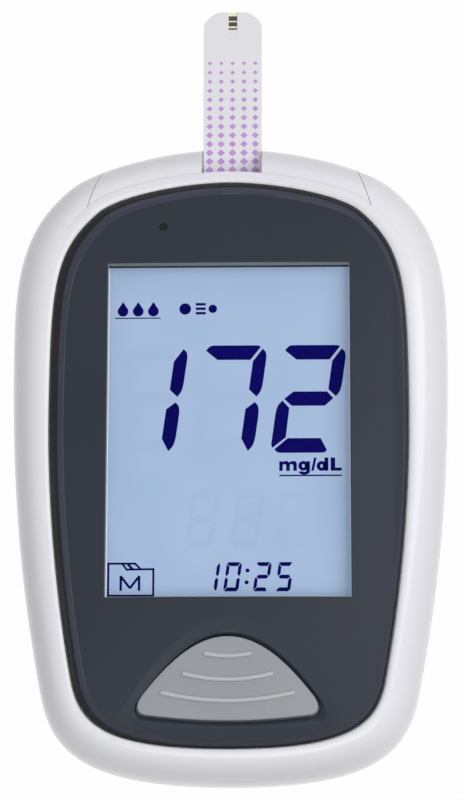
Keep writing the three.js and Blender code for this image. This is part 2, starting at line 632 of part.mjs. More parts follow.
function addFaceplate() {
  const underside = [
    domelessRing(PLATE_RIM_WIDTH, PLATE_CEILING), domelessRing(PLATE_RIM_WIDTH, PLATE_FLOOR),
    domelessRing(PLATE_GAP, PLATE_FLOOR),
  ];
  const bevelEnd = PLATE_BAND + PLATE_BEVEL;
  const edge = [
    domelessRing(PLATE_GAP, PLATE_EDGE_HEIGHT), domelessRing(PLATE_BAND, PLATE_BAND_HEIGHT),
    domed(plateOutline(bevelEnd), PLATE_BEVEL_HEIGHT),
  ];
  const crown = DOME_RING_SHARES.map((share) =>
    domed(plateOutline(PLATE_HALF_WIDTH * (1 - share)), PLATE_BEVEL_HEIGHT));
  const plate = solid(loft([...underside, ...edge, ...crown]));
  const view = block(
    -VIEW_WIDTH / 2, VIEW_WIDTH / 2, VIEW_Y0, VIEW_Y1, PLATE_FLOOR - OVERRUN, ABOVE_ALL,
  );
  const sensorHole = rod(
    SENSOR_X, SENSOR_Y, SENSOR_HOLE_RADIUS, PLATE_FLOOR - OVERRUN, ABOVE_ALL, SMALL_ROUND,
  );
  const hole = buttonOutline(BUTTON_CLEARANCE);
  const moat = buttonOutline(BUTTON_CLEARANCE + MOAT_WIDTH);
  const buttonHole = loft([
    raised(hole, PLATE_FLOOR - OVERRUN), domed(hole, PLATE_BEVEL_HEIGHT - MOAT_DEPTH),
    domed(moat, PLATE_BEVEL_HEIGHT), domed(moat, PLATE_BEVEL_HEIGHT + OVERRUN),
  ]);
  add('faceplate', cut(plate, view, sensorHole, buttonHole), CHARCOAL_PLASTIC);
}

function addDisplay() {
  const windowHalfWidth = VIEW_WIDTH / 2 + WINDOW_MARGIN;
  add('display_window', block(
    -windowHalfWidth, windowHalfWidth, VIEW_Y0 - WINDOW_MARGIN, VIEW_Y1 + WINDOW_MARGIN,
    WINDOW_TOP - WINDOW_THICKNESS, WINDOW_TOP,
  ), CLEAR_PLASTIC);
  const glass = (margin, z0, z1) => block(
    -GLASS_HALF_WIDTH - margin, GLASS_HALF_WIDTH + margin, GLASS_Y0 - margin, GLASS_Y1 + margin,
    z0, z1,
  );
  add('lcd_glass', glass(0, GLASS_BOTTOM, GLASS_TOP), DISPLAY);
  const ledY0 = GLASS_Y1 - LED_DEPTH;
  add('lcd_backlight', block(
    -GLASS_HALF_WIDTH, GLASS_HALF_WIDTH, GLASS_Y0 + ZEBRA_WIDTH + REST_GAP, ledY0 - REST_GAP,
    BACKLIGHT_BOTTOM, BACKLIGHT_TOP,
  ), WHITE_DIFFUSER);
  [-1, 1].forEach((side, k) => {
    const x = side * LED_PLACE_SHARE * GLASS_HALF_WIDTH;
    add(`backlight_led_${k + 1}`, block(
      x - LED_WIDTH / 2, x + LED_WIDTH / 2, ledY0, GLASS_Y1, ON_BOARD, ON_BOARD + LED_HEIGHT,
    ), WHITE_DIFFUSER);
  });
  const zebraHalfWidth = GLASS_HALF_WIDTH - LCD_FRAME_WALL;
  add('zebra_connector', block(
    -zebraHalfWidth, zebraHalfWidth, GLASS_Y0, GLASS_Y0 + ZEBRA_WIDTH, ON_BOARD, BACKLIGHT_TOP,
  ), BLACK_RUBBER);
  const frame = solid(glass(FRAME_OUTSIDE, ON_BOARD, GLASS_TOP));
  add('lcd_frame', cut(frame, glass(REST_GAP, ON_BOARD - OVERRUN, GLASS_TOP + OVERRUN)), BLACK_PLASTIC);
}

function addCircuitBoard() {
  const board = solid(prism(between(BOARD_SHARE), BOARD_BOTTOM, BOARD_TOP));
  const holes = screwPlaces.map(([x, y]) => rod(
    x, y, SCREW_SHANK_RADIUS + SCREW_CLEARANCE, BOARD_BOTTOM - OVERRUN, BOARD_TOP + OVERRUN,
    SMALL_ROUND,
  ));
  add('circuit_board', cut(board, ...holes), BOARD_GREEN);
  const chipX = PROCESSOR_X_SHARE * HALF_WIDTH;
  add('processor_chip', centredBlock(
    chipX, PROCESSOR_Y_SHARE * HALF_LENGTH, PROCESSOR_SIZE, PROCESSOR_SIZE,
    UNDER_BOARD - PROCESSOR_THICKNESS, UNDER_BOARD,
  ), BLACK_PLASTIC);
  add('analog_chip', centredBlock(
    ANALOG_CHIP_X_SHARE * HALF_WIDTH, ANALOG_CHIP_Y_SHARE * HALF_LENGTH, ANALOG_CHIP_WIDTH,
    ANALOG_CHIP_LENGTH, UNDER_BOARD - ANALOG_CHIP_THICKNESS, UNDER_BOARD,
  ), BLACK_PLASTIC);
  const sideX = BAY_HALF_WIDTH + BAY_WALL + SIDE_PART_SPACE + CAPACITOR_RADIUS;
  const sideY = SIDE_PART_Y_SHARE * HALF_LENGTH;
  add('clock_crystal', centredBlock(
    -sideX, -sideY, CRYSTAL_WIDTH, CRYSTAL_LENGTH, UNDER_BOARD - CRYSTAL_THICKNESS, UNDER_BOARD,
  ), STEEL);
  add('power_capacitor', rod(
    sideX, sideY, CAPACITOR_RADIUS, UNDER_BOARD - CAPACITOR_HEIGHT, UNDER_BOARD, SMALL_ROUND,
  ), BLACK_PLASTIC);
}

function addStripPort() {
  const halfWidth = NOTCH_HALF_WIDTH + PORT_SIDE_WALL;
  const backY = STRIP_END_Y - PORT_PLAY - PORT_BACK_WALL;
  const frontY = PORT_MOUTH_Y - PORT_SETBACK;
  const housing = solid(block(
    PORT_CENTRE_X - halfWidth, PORT_CENTRE_X + halfWidth, backY, frontY,
    ON_BOARD, ON_BOARD + PORT_HEIGHT + CONTACT_ROOF,
  ));
  const slot = block(
    PORT_CENTRE_X - NOTCH_HALF_WIDTH, PORT_CENTRE_X + NOTCH_HALF_WIDTH,
    STRIP_END_Y - PORT_PLAY, frontY + OVERRUN, STRIP_BOTTOM - PORT_PLAY, STRIP_TOP + PORT_PLAY,
  );
  const span = (CONTACT_COUNT - 1) * CONTACT_PITCH + CONTACT_WIDTH + 2 * REST_GAP;
  const contactY0 = STRIP_END_Y;
  const contactY1 = contactY0 + CONTACT_LENGTH;
  const room = block(
    PORT_CENTRE_X - span / 2, PORT_CENTRE_X + span / 2, contactY0 - REST_GAP,
    contactY1 + REST_GAP, STRIP_TOP, ON_BOARD + PORT_HEIGHT,
  );
  add('strip_port', cut(housing, slot, room), BLACK_PLASTIC);

  const high = ON_BOARD + PORT_HEIGHT - REST_GAP - CONTACT_THICKNESS;
  const low = STRIP_TOP + CONTACT_GAP;
  const bendY = contactY0 + CONTACT_BEND_SHARE * CONTACT_LENGTH;
  const line = [[contactY0, high], [bendY, low], [contactY1, (low + high) / 2]];
  for (let k = 0; k < CONTACT_COUNT; k += 1) {
    const x = PORT_CENTRE_X + (k - (CONTACT_COUNT - 1) / 2) * CONTACT_PITCH;
    const side = [
      ...line.map(([y, z]) => new THREE.Vector2(y, z)),
      ...line.map(([y, z]) => new THREE.Vector2(y, z + CONTACT_THICKNESS)).reverse(),
    ];
    const geometry = new THREE.ExtrudeGeometry(new THREE.Shape(side), {
      depth: CONTACT_WIDTH, bevelEnabled: false,
    });
    geometry.rotateY(Math.PI / 2).rotateX(Math.PI / 2).translate(x - CONTACT_WIDTH / 2, 0, 0);
    add(`port_contact_${k + 1}`, geometry, GOLD);
  }
}

function stripPlan(endY) {
  const half = STRIP_WIDTH / 2;
  const shape = new THREE.Shape();
  shape.moveTo(half, endY);
  shape.lineTo(half, STRIP_TIP_Y - STRIP_TIP_LENGTH);
  shape.lineTo(half - STRIP_TIP_WIDTH / 3, STRIP_TIP_Y - STRIP_TIP_LENGTH / 2);
  shape.lineTo(half - STRIP_TIP_WIDTH, STRIP_TIP_Y);
  shape.lineTo(-half + STRIP_TIP_WIDTH, STRIP_TIP_Y);
  shape.lineTo(-half + STRIP_TIP_WIDTH / 3, STRIP_TIP_Y - STRIP_TIP_LENGTH / 2);
  shape.lineTo(-half, STRIP_TIP_Y - STRIP_TIP_LENGTH);
  shape.lineTo(-half, endY);
  return shape.getPoints().map((p) => new THREE.Vector2(p.x + PORT_CENTRE_X, p.y));
}

function addTestStrip() {
  add('strip_base', prism(stripPlan(STRIP_END_Y), STRIP_BOTTOM, STRIP_JOIN), STRIP_WHITE);
  const coverEndY = PORT_MOUTH_Y - PORT_SETBACK - STRIP_COVER_INSIDE;
  const cover = solid(prism(stripPlan(coverEndY), STRIP_JOIN, STRIP_TOP));
  const notch = centredBlock(
    PORT_CENTRE_X, STRIP_TIP_Y, FILL_NOTCH_WIDTH, 2 * FILL_NOTCH_LENGTH,
    STRIP_JOIN - OVERRUN, STRIP_TOP + OVERRUN,
  );
  add('strip_cover', cut(cover, notch), STRIP_WHITE);
}

function buttonRidge(k) {
  const half = (RIDGE_HALF_LENGTH_SHARES[k] * BUTTON_WIDTH) / 2;
  const sag = (RIDGE_SAG_SHARES[k] * BUTTON_LENGTH) / 2;
  const y = BUTTON_CENTRE_Y + (RIDGE_PLACE_SHARES[k] * BUTTON_LENGTH) / 2;
  const centre = (u) => [u * half, y - sag * (1 - u * u)];
  const points = [];
  for (let i = 0; i <= RIDGE_STEPS; i += 1) points.push([centre((2 * i) / RIDGE_STEPS - 1), -1]);
  for (let i = RIDGE_STEPS; i >= 0; i -= 1) points.push([centre((2 * i) / RIDGE_STEPS - 1), 1]);
  const plan = points.map(([[px, py], side]) =>
    new THREE.Vector2(px, py + (side * RIDGE_WIDTH) / 2));
  const top = PLATE_BEVEL_HEIGHT + BUTTON_PROUD;
  return loft([raised(plan, PLATE_CEILING), domed(plan, top + RIDGE_HEIGHT)]);
}

function addMainButton() {
  const top = PLATE_BEVEL_HEIGHT + BUTTON_PROUD;
  const flangeTop = PLATE_CEILING - REST_GAP;
  const flangeBottom = flangeTop - BUTTON_FLANGE_THICKNESS;
  const crown = loft([
    raised(buttonOutline(0), flangeBottom),
    domed(buttonOutline(0), top - BUTTON_ROUNDING),
    domed(buttonOutline(-BUTTON_ROUNDING), top),
    domed(buttonOutline(-BUTTON_LENGTH / 4), top),
  ]);
  const flange = prism(
    buttonOutline(BUTTON_CLEARANCE + BUTTON_FLANGE_WIDTH), flangeBottom, flangeTop,
  );
  const switchTop = ON_BOARD + SWITCH_HEIGHT;
  const plungerTop = switchTop + PLUNGER_HEIGHT;
  const stem = rod(
    0, BUTTON_CENTRE_Y, BUTTON_STEM_RADIUS, plungerTop + REST_GAP, flangeTop, SMALL_ROUND,
  );
  const ridges = RIDGE_PLACE_SHARES.map((_, k) => buttonRidge(k));
  add('main_button', joined(crown, flange, stem, ...ridges), GREY_BUTTON);

  const bore = rod(
    0, BUTTON_CENTRE_Y, PLUNGER_RADIUS + PLUNGER_CLEARANCE,
    switchTop - 2 * BUTTON_TRAVEL - REST_GAP, switchTop + OVERRUN, SMALL_ROUND,
  );
  const body = centredBlock(0, BUTTON_CENTRE_Y, SWITCH_SIZE, SWITCH_SIZE, ON_BOARD, switchTop);
  add('main_switch', cut(solid(body), bore), STEEL);
  add('main_switch_plunger', rod(
    0, BUTTON_CENTRE_Y, PLUNGER_RADIUS, switchTop - BUTTON_TRAVEL, plungerTop, SMALL_ROUND,
  ), BLACK_PLASTIC);
}

function addSetButton() {
  const flangeBottom = POCKET_TOP + REST_GAP;
  const flangeTop = flangeBottom + SET_FLANGE_THICKNESS;
  const cap = rod(
    SET_X, SET_Y, SET_BUTTON_RADIUS, SET_POCKET_HEIGHT - SET_BUTTON_DROP, flangeTop, SMALL_ROUND,
  );
  const flange = rod(SET_X, SET_Y, SET_FLANGE_RADIUS, flangeBottom, flangeTop, SMALL_ROUND);
  add('set_button', joined(cap, flange), GREY_BUTTON);
  const switchBottom = UNDER_BOARD - SET_SWITCH_HEIGHT;
  const bore = rod(
    SET_X, SET_Y, SET_PLUNGER_RADIUS + PLUNGER_CLEARANCE, switchBottom - OVERRUN,
    switchBottom + 2 * SET_TRAVEL + REST_GAP, SMALL_ROUND,
  );
  const body = centredBlock(
    SET_X, SET_Y, SET_SWITCH_SIZE, SET_SWITCH_SIZE, switchBottom, UNDER_BOARD,
  );
  add('set_switch', cut(solid(body), bore), STEEL);
  add('set_switch_plunger', rod(
    SET_X, SET_Y, SET_PLUNGER_RADIUS, flangeTop + REST_GAP, switchBottom + SET_TRAVEL, SMALL_ROUND,
  ), BLACK_PLASTIC);
}

function addCells() {
  [-1, 1].forEach((side, k) => {
    const profile = [
      [0, 0], [CELL_RADIUS, 0], [CELL_RADIUS, CELL_LENGTH - CELL_NUB_LENGTH],
      [CELL_NUB_RADIUS, CELL_LENGTH - CELL_NUB_LENGTH], [CELL_NUB_RADIUS, CELL_LENGTH],
      [0, CELL_LENGTH],
    ].map(([radius, along]) => new THREE.Vector2(radius, along - CELL_LENGTH / 2));
    const cell = new THREE.LatheGeometry(profile, ROUND);
    if (side > 0) cell.rotateZ(Math.PI);
    cell.translate(side * CELL_X, BAY_CENTRE_Y, CELL_HEIGHT);
    add(`battery_${k + 1}`, solid(cell), CELL_JACKET);
  });
}

// A plate against the bay's end wall, with a cone spring or a round bump facing the cell
function contactParts(x, end, sprung) {
  const wallY = BAY_CENTRE_Y + end * (BAY_HALF_LENGTH - REST_GAP);
  const plateY = wallY - end * CONTACT_PLATE_THICKNESS;
  const half = CONTACT_PLATE_SHARE * CELL_RADIUS;
  const plate = block(
    x - half, x + half, Math.min(wallY, plateY), Math.max(wallY, plateY),
    CELL_HEIGHT - half, CELL_HEIGHT + half,
  );
  const cellEnd = BAY_CENTRE_Y + (end * CELL_LENGTH) / 2;
  const reach = Math.abs(plateY - cellEnd) - REST_GAP;
  const height = sprung ? reach : Math.min(reach, BUMP_HEIGHT);
  const nose = new THREE.CylinderGeometry(
    sprung ? SPRING_TIP_RADIUS : BUMP_RADIUS, sprung ? SPRING_RADIUS : BUMP_RADIUS,
    height + CONTACT_PLATE_THICKNESS / 2, SMALL_ROUND,
  );
  if (end > 0) nose.rotateZ(Math.PI);
  const middle = plateY - (end * (height - CONTACT_PLATE_THICKNESS / 2)) / 2;
  return [plate, nose.translate(x, middle, CELL_HEIGHT)];
}

function contactTab(x, end) {
  const wallY = BAY_CENTRE_Y + end * (BAY_HALF_LENGTH - REST_GAP);
  const plateY = wallY - end * CONTACT_PLATE_THICKNESS;
  return block(
    x - TAB_WIDTH / 2, x + TAB_WIDTH / 2, Math.min(wallY, plateY), Math.max(wallY, plateY),
    CELL_HEIGHT, BOARD_BOTTOM - REST_GAP,
  );
}

function addBatteryContacts() {
  const linkY = BAY_CENTRE_Y - BAY_HALF_LENGTH + REST_GAP;
  const bridge = block(
    -CELL_X, CELL_X, linkY, linkY + CONTACT_PLATE_THICKNESS,
    CELL_HEIGHT - SPRING_TIP_RADIUS, CELL_HEIGHT + SPRING_TIP_RADIUS,
  );
  add('battery_link_contact', joined(
    ...contactParts(-CELL_X, -1, true), ...contactParts(CELL_X, -1, false), bridge,
    contactTab(CELL_X, -1),
  ), STEEL);
  add('battery_plus_contact', joined(
    ...contactParts(-CELL_X, 1, false), contactTab(-CELL_X, 1),
  ), STEEL);
  add('battery_minus_contact', joined(
    ...contactParts(CELL_X, 1, true), contactTab(CELL_X, 1),
  ), STEEL);
}

function addBatteryDoor() {
  const panel = prism(roundedRectangle(
    -DOOR_HALF_WIDTH, DOOR_HALF_WIDTH, DOOR_Y0, DOOR_Y1, DOOR_CORNER - DOOR_GAP,
  ), DOOR_BOTTOM, DOOR_TOP);
  const hookBottom = SEAT_BOTTOM + REST_GAP;
  const hooks = [-1, 1].flatMap((side) => {
    const x1 = BAY_HALF_WIDTH - REST_GAP;
    const [x0, xEnd] = side > 0 ? [x1 - HOOK_WIDTH, x1] : [-x1, -x1 + HOOK_WIDTH];
    return [
      block(x0, xEnd, DOOR_Y1 - HOOK_WIDTH, DOOR_Y1 - DOOR_GAP, DOOR_TOP - REST_GAP,
        hookBottom + HOOK_THICKNESS),
      block(x0, xEnd, DOOR_Y1 - HOOK_WIDTH, DOOR_Y1 + HOOK_REACH, hookBottom,
        hookBottom + HOOK_THICKNESS),
    ];
  });
  const grips = Array.from({ length: GRIP_COUNT }, (_, k) => {
    const y = DOOR_Y0 + LATCH_SLOT + (k + 1) * GRIP_PITCH;
    return centredBlock(
      0, y, LATCH_WIDTH / 2, GRIP_WIDTH, DOOR_BOTTOM - GRIP_HEIGHT / 2, DOOR_BOTTOM + GRIP_HEIGHT,
    );
  });
  const slots = [-1, 1].map((side) => centredBlock(
    (side * LATCH_WIDTH) / 2, DOOR_Y0, LATCH_SLOT, 2 * LATCH_LENGTH,
    DOOR_BOTTOM - OVERRUN, DOOR_TOP + OVERRUN,
  ));
  add('battery_door', cut(joined(panel, ...hooks, ...grips), ...slots), WHITE_PLASTIC);
}

function addSounder() {
  const bottom = WALL + REST_GAP;
  const middle = bottom + SOUNDER_PLATE;
  const top = middle + SOUNDER_CERAMIC;
  add('sounder_disc', rod(0, SOUNDER_Y, SOUNDER_RADIUS, bottom, middle), BRASS);
  add('sounder_ceramic', rod(0, SOUNDER_Y, SOUNDER_CERAMIC_RADIUS, middle, top), CERAMIC);
  const places = [
    [0, top], [(SOUNDER_RADIUS + SOUNDER_CERAMIC_RADIUS) / 2, middle],
  ];
  places.forEach(([x, z], k) => add(`sounder_contact_${k + 1}`, rod(
    x, SOUNDER_Y, SOUNDER_SPRING_RADIUS / 2, z + REST_GAP, UNDER_BOARD, SMALL_ROUND,
    SOUNDER_SPRING_RADIUS,
  ), GOLD));
}

function addSensor() {
  const chipTop = ON_BOARD + SENSOR_CHIP_HEIGHT;
  add('sensor_chip', centredBlock(
    SENSOR_X, SENSOR_Y, SENSOR_CHIP_SIZE, SENSOR_CHIP_SIZE, ON_BOARD, chipTop,
  ), BLACK_PLASTIC);
  const lensTop = PLATE_CEILING - REST_GAP;
  const body = rod(SENSOR_X, SENSOR_Y, SENSOR_LENS_RADIUS, chipTop + REST_GAP, lensTop, SMALL_ROUND);
  const tip = rod(
    SENSOR_X, SENSOR_Y, SENSOR_TIP_RADIUS, lensTop - REST_GAP,
    PLATE_BEVEL_HEIGHT - REST_GAP, SMALL_ROUND,
  );
  add('sensor_lens', joined(body, tip), BLACK_PLASTIC);
}

function addScrews() {
  const headTop = SCREW_RECESS - REST_GAP;
  const headBottom = headTop - SCREW_HEAD_HEIGHT;
  screwPlaces.forEach(([x, y], k) => {
    const head = rod(x, y, SCREW_HEAD_RADIUS, headBottom, headTop, SMALL_ROUND);
    const shank = rod(
      x, y, SCREW_SHANK_RADIUS, headTop - SCREW_HEAD_HEIGHT / 2, headTop + SCREW_LENGTH,
      SMALL_ROUND,
    );
    const cross = [[SCREW_HEAD_RADIUS, SCREW_CROSS_WIDTH], [SCREW_CROSS_WIDTH, SCREW_HEAD_RADIUS]]
      .map(([width, length]) => centredBlock(
        x, y, width, length, headBottom - OVERRUN, headBottom + SCREW_CROSS_DEPTH,
      ));
    add(`case_screw_${k + 1}`, cut(joined(head, shank), ...cross), STEEL);
  });
}

addRearShell();
addFrontShellAndCap();
addFaceplate();
addDisplay();
addCircuitBoard();
addStripPort();
addTestStrip();
addMainButton();
addSetButton();
addCells();
addBatteryContacts();
addBatteryDoor();
addSounder();
addSensor();
addScrews();

// The origin is under the middle of the whole length, strip included
model.position.y = -(STRIP_TIP_Y - HALF_LENGTH) / 2;
const meter = new THREE.Group();
meter.add(model);

export default meter;
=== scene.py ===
"""A hand-held blood glucose meter with its test strip in, lying on its back on a pale floor."""

import math

import bpy
import numpy as np
from mathutils import Matrix, Vector


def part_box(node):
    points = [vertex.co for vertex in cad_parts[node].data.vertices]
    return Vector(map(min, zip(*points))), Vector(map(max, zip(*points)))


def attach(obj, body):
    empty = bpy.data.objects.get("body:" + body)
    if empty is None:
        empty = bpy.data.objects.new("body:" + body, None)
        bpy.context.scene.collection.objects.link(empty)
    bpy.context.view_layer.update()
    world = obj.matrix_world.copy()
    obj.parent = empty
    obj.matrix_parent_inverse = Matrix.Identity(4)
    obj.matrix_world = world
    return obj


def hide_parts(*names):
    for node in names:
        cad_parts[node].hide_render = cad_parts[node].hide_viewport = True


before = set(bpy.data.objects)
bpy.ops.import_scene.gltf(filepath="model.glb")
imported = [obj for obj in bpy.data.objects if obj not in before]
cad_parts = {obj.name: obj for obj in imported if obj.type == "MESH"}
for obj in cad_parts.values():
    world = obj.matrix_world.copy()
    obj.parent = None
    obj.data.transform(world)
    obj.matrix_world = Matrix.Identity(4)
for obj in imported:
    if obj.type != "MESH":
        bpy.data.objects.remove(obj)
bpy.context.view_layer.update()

# Lengths are millimetres until a mesh is made. Cutting tools overrun what they cut.
MM = 0.001
OVERRUN = 1.0


def box(node):
    """Lowest and highest corner of a CAD node, in millimetres."""
    low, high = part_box(node)
    return np.array(low) / MM, np.array(high) / MM


# Case and faceplate, from the frame. Outline shares are of the half width and half length,
# from the top centre down the right side, as curves of four points.
CASE_LOW, CASE_HIGH = box("rear_shell")
FRONT_LOW = box("front_shell")[0]
PLATE_LOW, PLATE_HIGH = box("faceplate")
WINDOW_LOW, WINDOW_HIGH = box("display_window")
STRIP_LOW, STRIP_HIGH = box("strip_base")
COVER_LOW, COVER_HIGH = box("strip_cover")
DOOR_LOW, DOOR_HIGH = box("battery_door")
SEAT = box("lcd_glass")[1][2]
PLATE_GAP = 0.2
CASE_HALF_X = CASE_HIGH[0]
CASE_HALF_Y = (CASE_HIGH[1] - CASE_LOW[1]) / 2
CASE_Y = (CASE_HIGH[1] + CASE_LOW[1]) / 2
PLATE_HALF_X = PLATE_HIGH[0] + PLATE_GAP
PLATE_HALF_Y = (PLATE_HIGH[1] - PLATE_LOW[1]) / 2 + PLATE_GAP
PLATE_Y = (PLATE_HIGH[1] + PLATE_LOW[1]) / 2
SIDE_BORDER = CASE_HALF_X - PLATE_HALF_X
CASE_SHARES = [
    (0, 1), (0.327, 1), (0.643, 0.929), (0.742, 0.875), (0.988, 0.74), (1, 0.564), (1, 0.345),
    (1, -0.108), (0.946, -0.398), (0.856, -0.71), (0.806, -0.884), (0.691, -1), (0, -1),
]
PLATE_SHARES = [
    (0, 1), (0.26, 1), (0.631, 0.953), (0.74, 0.891), (0.982, 0.753), (1, 0.635), (1, 0.168),
    (1, -0.188), (0.93, -0.532), (0.857, -0.767), (0.809, -0.922), (0.664, -1), (0, -1),
]
CURVE_STEPS = 32

# Shell section
WALL = 1.7
BACK_INSET = 5.4
SHOULDER_STEPS = 24
BACK_POWER = 0.85
CREST_SHARE = 0.88
CREST_RISE = 1.85
BEAD_EDGE_RISE, BEAD_EDGE_POWER = 1.6, 2.5
LEDGE_WIDTH = 1.7
LEDGE_BOTTOM = SEAT - 1.4

# Crease between the top cap and the bead: where it starts, is deepest and ends across the
# section, how deep and how sharp it is, and where along the case it begins and is full
CREASE_START, CREASE_SHARE, CREASE_END = 0.45, 0.76, 0.9
CREASE_DIP, CREASE_OUTER_POWER, CREASE_INNER_POWER = 0.2, 2, 1.6
CREASE_RINGS = np.linspace(-0.05, 0.05, 7)
CREASE_FADE = (21.0, 31.0)

# Top cap seams
CAP_SEAM_X = 18.1
CAP_SEAM_INSET = 3.7
CAP_SEAM_RUN = (1.95, -6.3)
CAP_SEAM_GAP = 0.08
CREASE_GAP = 0.02
NOTCH_PLAY = 0.08

# Faceplate section, in from its edge. The band, painted near-black as shade along the plate's edge,
# and the bevel, painted bluish as a highlight, have widths at the left, the right, the top and the
# bottom, set by where that shade and light fall.
SHADE_BAND_WIDTHS = np.array([1.25, 0.5, 0.8, 0.45])
BEVEL_WIDTHS = np.array([2.2, 0.9, 2.0, 0.9])
PLATE_EDGE_Z = SEAT + 1.4
PLATE_BAND_Z = PLATE_EDGE_Z + 0.65
PLATE_TOP = PLATE_BAND_Z + 0.35
BAND_GROOVE = 0.03
BEVEL_EASE = 0.3
PLATE_DOME = 1.2
PLATE_RING_STEP = 0.35
PLATE_RIM = 1.9
PLATE_EASE = 0.25

# Display opening and sensor hole
WINDOW_MARGIN = 1.6
VIEW_LOW, VIEW_HIGH = WINDOW_LOW + WINDOW_MARGIN, WINDOW_HIGH - WINDOW_MARGIN
VIEW_CORNER, VIEW_LEAST_CORNER, VIEW_ROUNDING = 0.12, 0.02, 0.12
VIEW_STEP = 1.5
# A thin sheet on the display opening's walls, lighter than the plate: painted light on those walls.
LIT_SHEET_THICKNESS, LIT_SHEET_BEHIND = 0.05, 0.01
SENSOR_HOLE, SENSOR_ROUNDING = 0.56, 0.08
SENSOR_BARREL, SENSOR_DEPTH = 0.555, 0.22
LENS_EASE, LENS_ROUNDING = 0.05, 0.06

# Button. The moat has a margin round the button and a depth for each of its lines, and from
# its third line on it is off centre by the whole shift.
BUTTON_WIDTH, BUTTON_LENGTH = 24.6, 11.5
BUTTON_Y = float(np.mean([corner[1] for corner in box("main_switch_plunger")]))
BUTTON_SHARES = [
    (0, 1), (0.3, 1), (0.6, 0.57), (0.95, -0.4), (1.02, -0.59), (1.04, -0.84), (0.9, -0.875),
    (0.72, -0.92), (0.4, -1), (0, -1),
]
BUTTON_TOP = PLATE_TOP + 0.12
BUTTON_ROUNDING = 0.25
BUTTON_FLANGE = 1.0
BUTTON_FLANGE_MARGIN = 0.9
BUTTON_STEM = 2.0
BUTTON_RINGS, BUTTON_RINGS_Y = np.linspace(0.95, 0.05, 16), BUTTON_Y - 1
MOAT = [(0.18, 0.7), (0.24, 0.42), (0.6, 0.14), (0.66, 0.1), (1.2, 0.09), (1.9, 0.05), (2.7, 0.0)]
MOAT_SHIFT = np.array([0.26, -0.12])
# Half length, place and sag of each ridge, as shares of the button's half sizes
BUTTON_RIDGES = [(0.277, 0.595, 0.07), (0.517, 0.12, 0.15), (0.753, -0.33, 0.2)]
RIDGE_WIDTH, RIDGE_HEIGHT, RIDGE_POINTS = 0.7, 0.42, 160
# A little over 1, so that the ends of a ridge don't shrink to a point
RIDGE_END = 1.0003

# Strip. The bars of its fill, the vent and the first row of diamonds are placed from its tip.
STRIP_MIDDLE = (STRIP_HIGH[0] + STRIP_LOW[0]) / 2
TIP_WIDTH, TIP_LENGTH, TIP_POWER = 2.4, 2.1, 1.45
FILM_EDGE = 0.04
NOTCH_WIDTH, NOTCH_LENGTH = 1.3, 2.7
FILL_BARS = [(0.56, 1.26), (1.47, 2.1), (2.39, 2.66)]
FILL_SIDE, FILL_UNDER, CREAM_HEIGHT, CARBON_HEIGHT = 0.04, 0.01, 0.01, 0.03
CREAM = [(0.02, NOTCH_LENGTH)]
VENT_PLACE = (-0.03, -3.66, -0.002)
VENT_PROFILE = [(0.5, 0.0), (0.5, 0.015), (0.44, 0.03), (0.36, 0.012), (0.12, 0.008)]
DIAMONDS = {
    "Columns": 5, "Rows": 15, "Column Pitch": 1.65 * MM, "Row Pitch": 1.393 * MM,
    "Pitch Loss": 0.009 * MM, "Half Size": 0.325 * MM, "Growth": 0.0245 * MM,
    "Thickness": 0.02 * MM,
}
FIRST_DIAMONDS = (-0.02, -7.82, 0.0)

# Inside of the rear shell, from what it holds
GAP = 0.3
EDGE_ROUNDING = 0.15
BOARD_LOW, BOARD_HIGH = box("circuit_board")
SCREWS = [f"case_screw_{k}" for k in (1, 2, 3, 4)]
SCREW_LOW, SCREW_HIGH = box(SCREWS[0])
SCREW_PLACES = [np.mean(box(node), axis=0)[:2] for node in SCREWS]
SCREW_RECESS = 7.9
HEAD_BORE, SHANK_BORE = 2.2, 1.3
TUBE_WALL = 1.0
BOSS_RADIUS, BOSS_ROOT = 2.5, 0.9
BAY_WALL, BAY_CEILING = 1.2, 0.9
CELL_LOW, CELL_HIGH = box("battery_2")
CELL_X = (CELL_LOW[0] + CELL_HIGH[0]) / 2
LINK, PLUS, MINUS = (f"battery_{kind}_contact" for kind in ("link", "plus", "minus"))
BAY_LOW = np.array([-CELL_HIGH[0] - GAP, box(LINK)[0][1] - GAP, CELL_LOW[2]])
BAY_HIGH = np.array([CELL_HIGH[0] + GAP, box(PLUS)[1][1] + GAP, CELL_HIGH[2] + GAP])
BAY_Y, BAY_HALF = (BAY_LOW[1] + BAY_HIGH[1]) / 2, (BAY_HIGH[1] - BAY_LOW[1]) / 2
CONTACT_PLATE = 0.4
TAB_HALF = 1.0
SET_LOW, SET_HIGH = box("set_button")
SET_X, SET_Y = ((SET_LOW + SET_HIGH) / 2)[:2]
POCKET_HALF = np.array([4.0, 2.3])
POCKET_TOP = 8.0
SET_BORE = 1.7
DISC_LOW, DISC_HIGH = box("sounder_disc")
SOUNDER_Y = (DISC_LOW[1] + DISC_HIGH[1]) / 2
SOUNDER_SEAT = DISC_HIGH[0] + GAP
SOUNDER_WALL = 1.0
SOUNDER_TOP = WALL + 1.6
SOUND_HOLE = 0.7
SOUND_HOLE_PITCH = 2.4

# Battery door
DOOR_GAP = 0.3
DOOR_CORNER = 2.2
DOOR_EDGE = 0.25
DOOR_BOTTOM, DOOR_TOP = 0.2, 1.7
LATCH_WIDTH, LATCH_LENGTH, LATCH_SLOT, LATCH_ROUNDING = 10.0, 5.5, 0.7, 0.1
HOOK_WIDTH, HOOK_THICKNESS, HOOK_REACH, HOOK_ROUNDING = 1.7, 0.6, 1.6, 0.12
DOOR_PANEL_END = DOOR_HIGH[1] - HOOK_REACH
GRIP_PITCH = 1.3
GRIP_PROFILE = [(0.02, -0.1), (0.16, -0.085), (0.25, 0.1)]

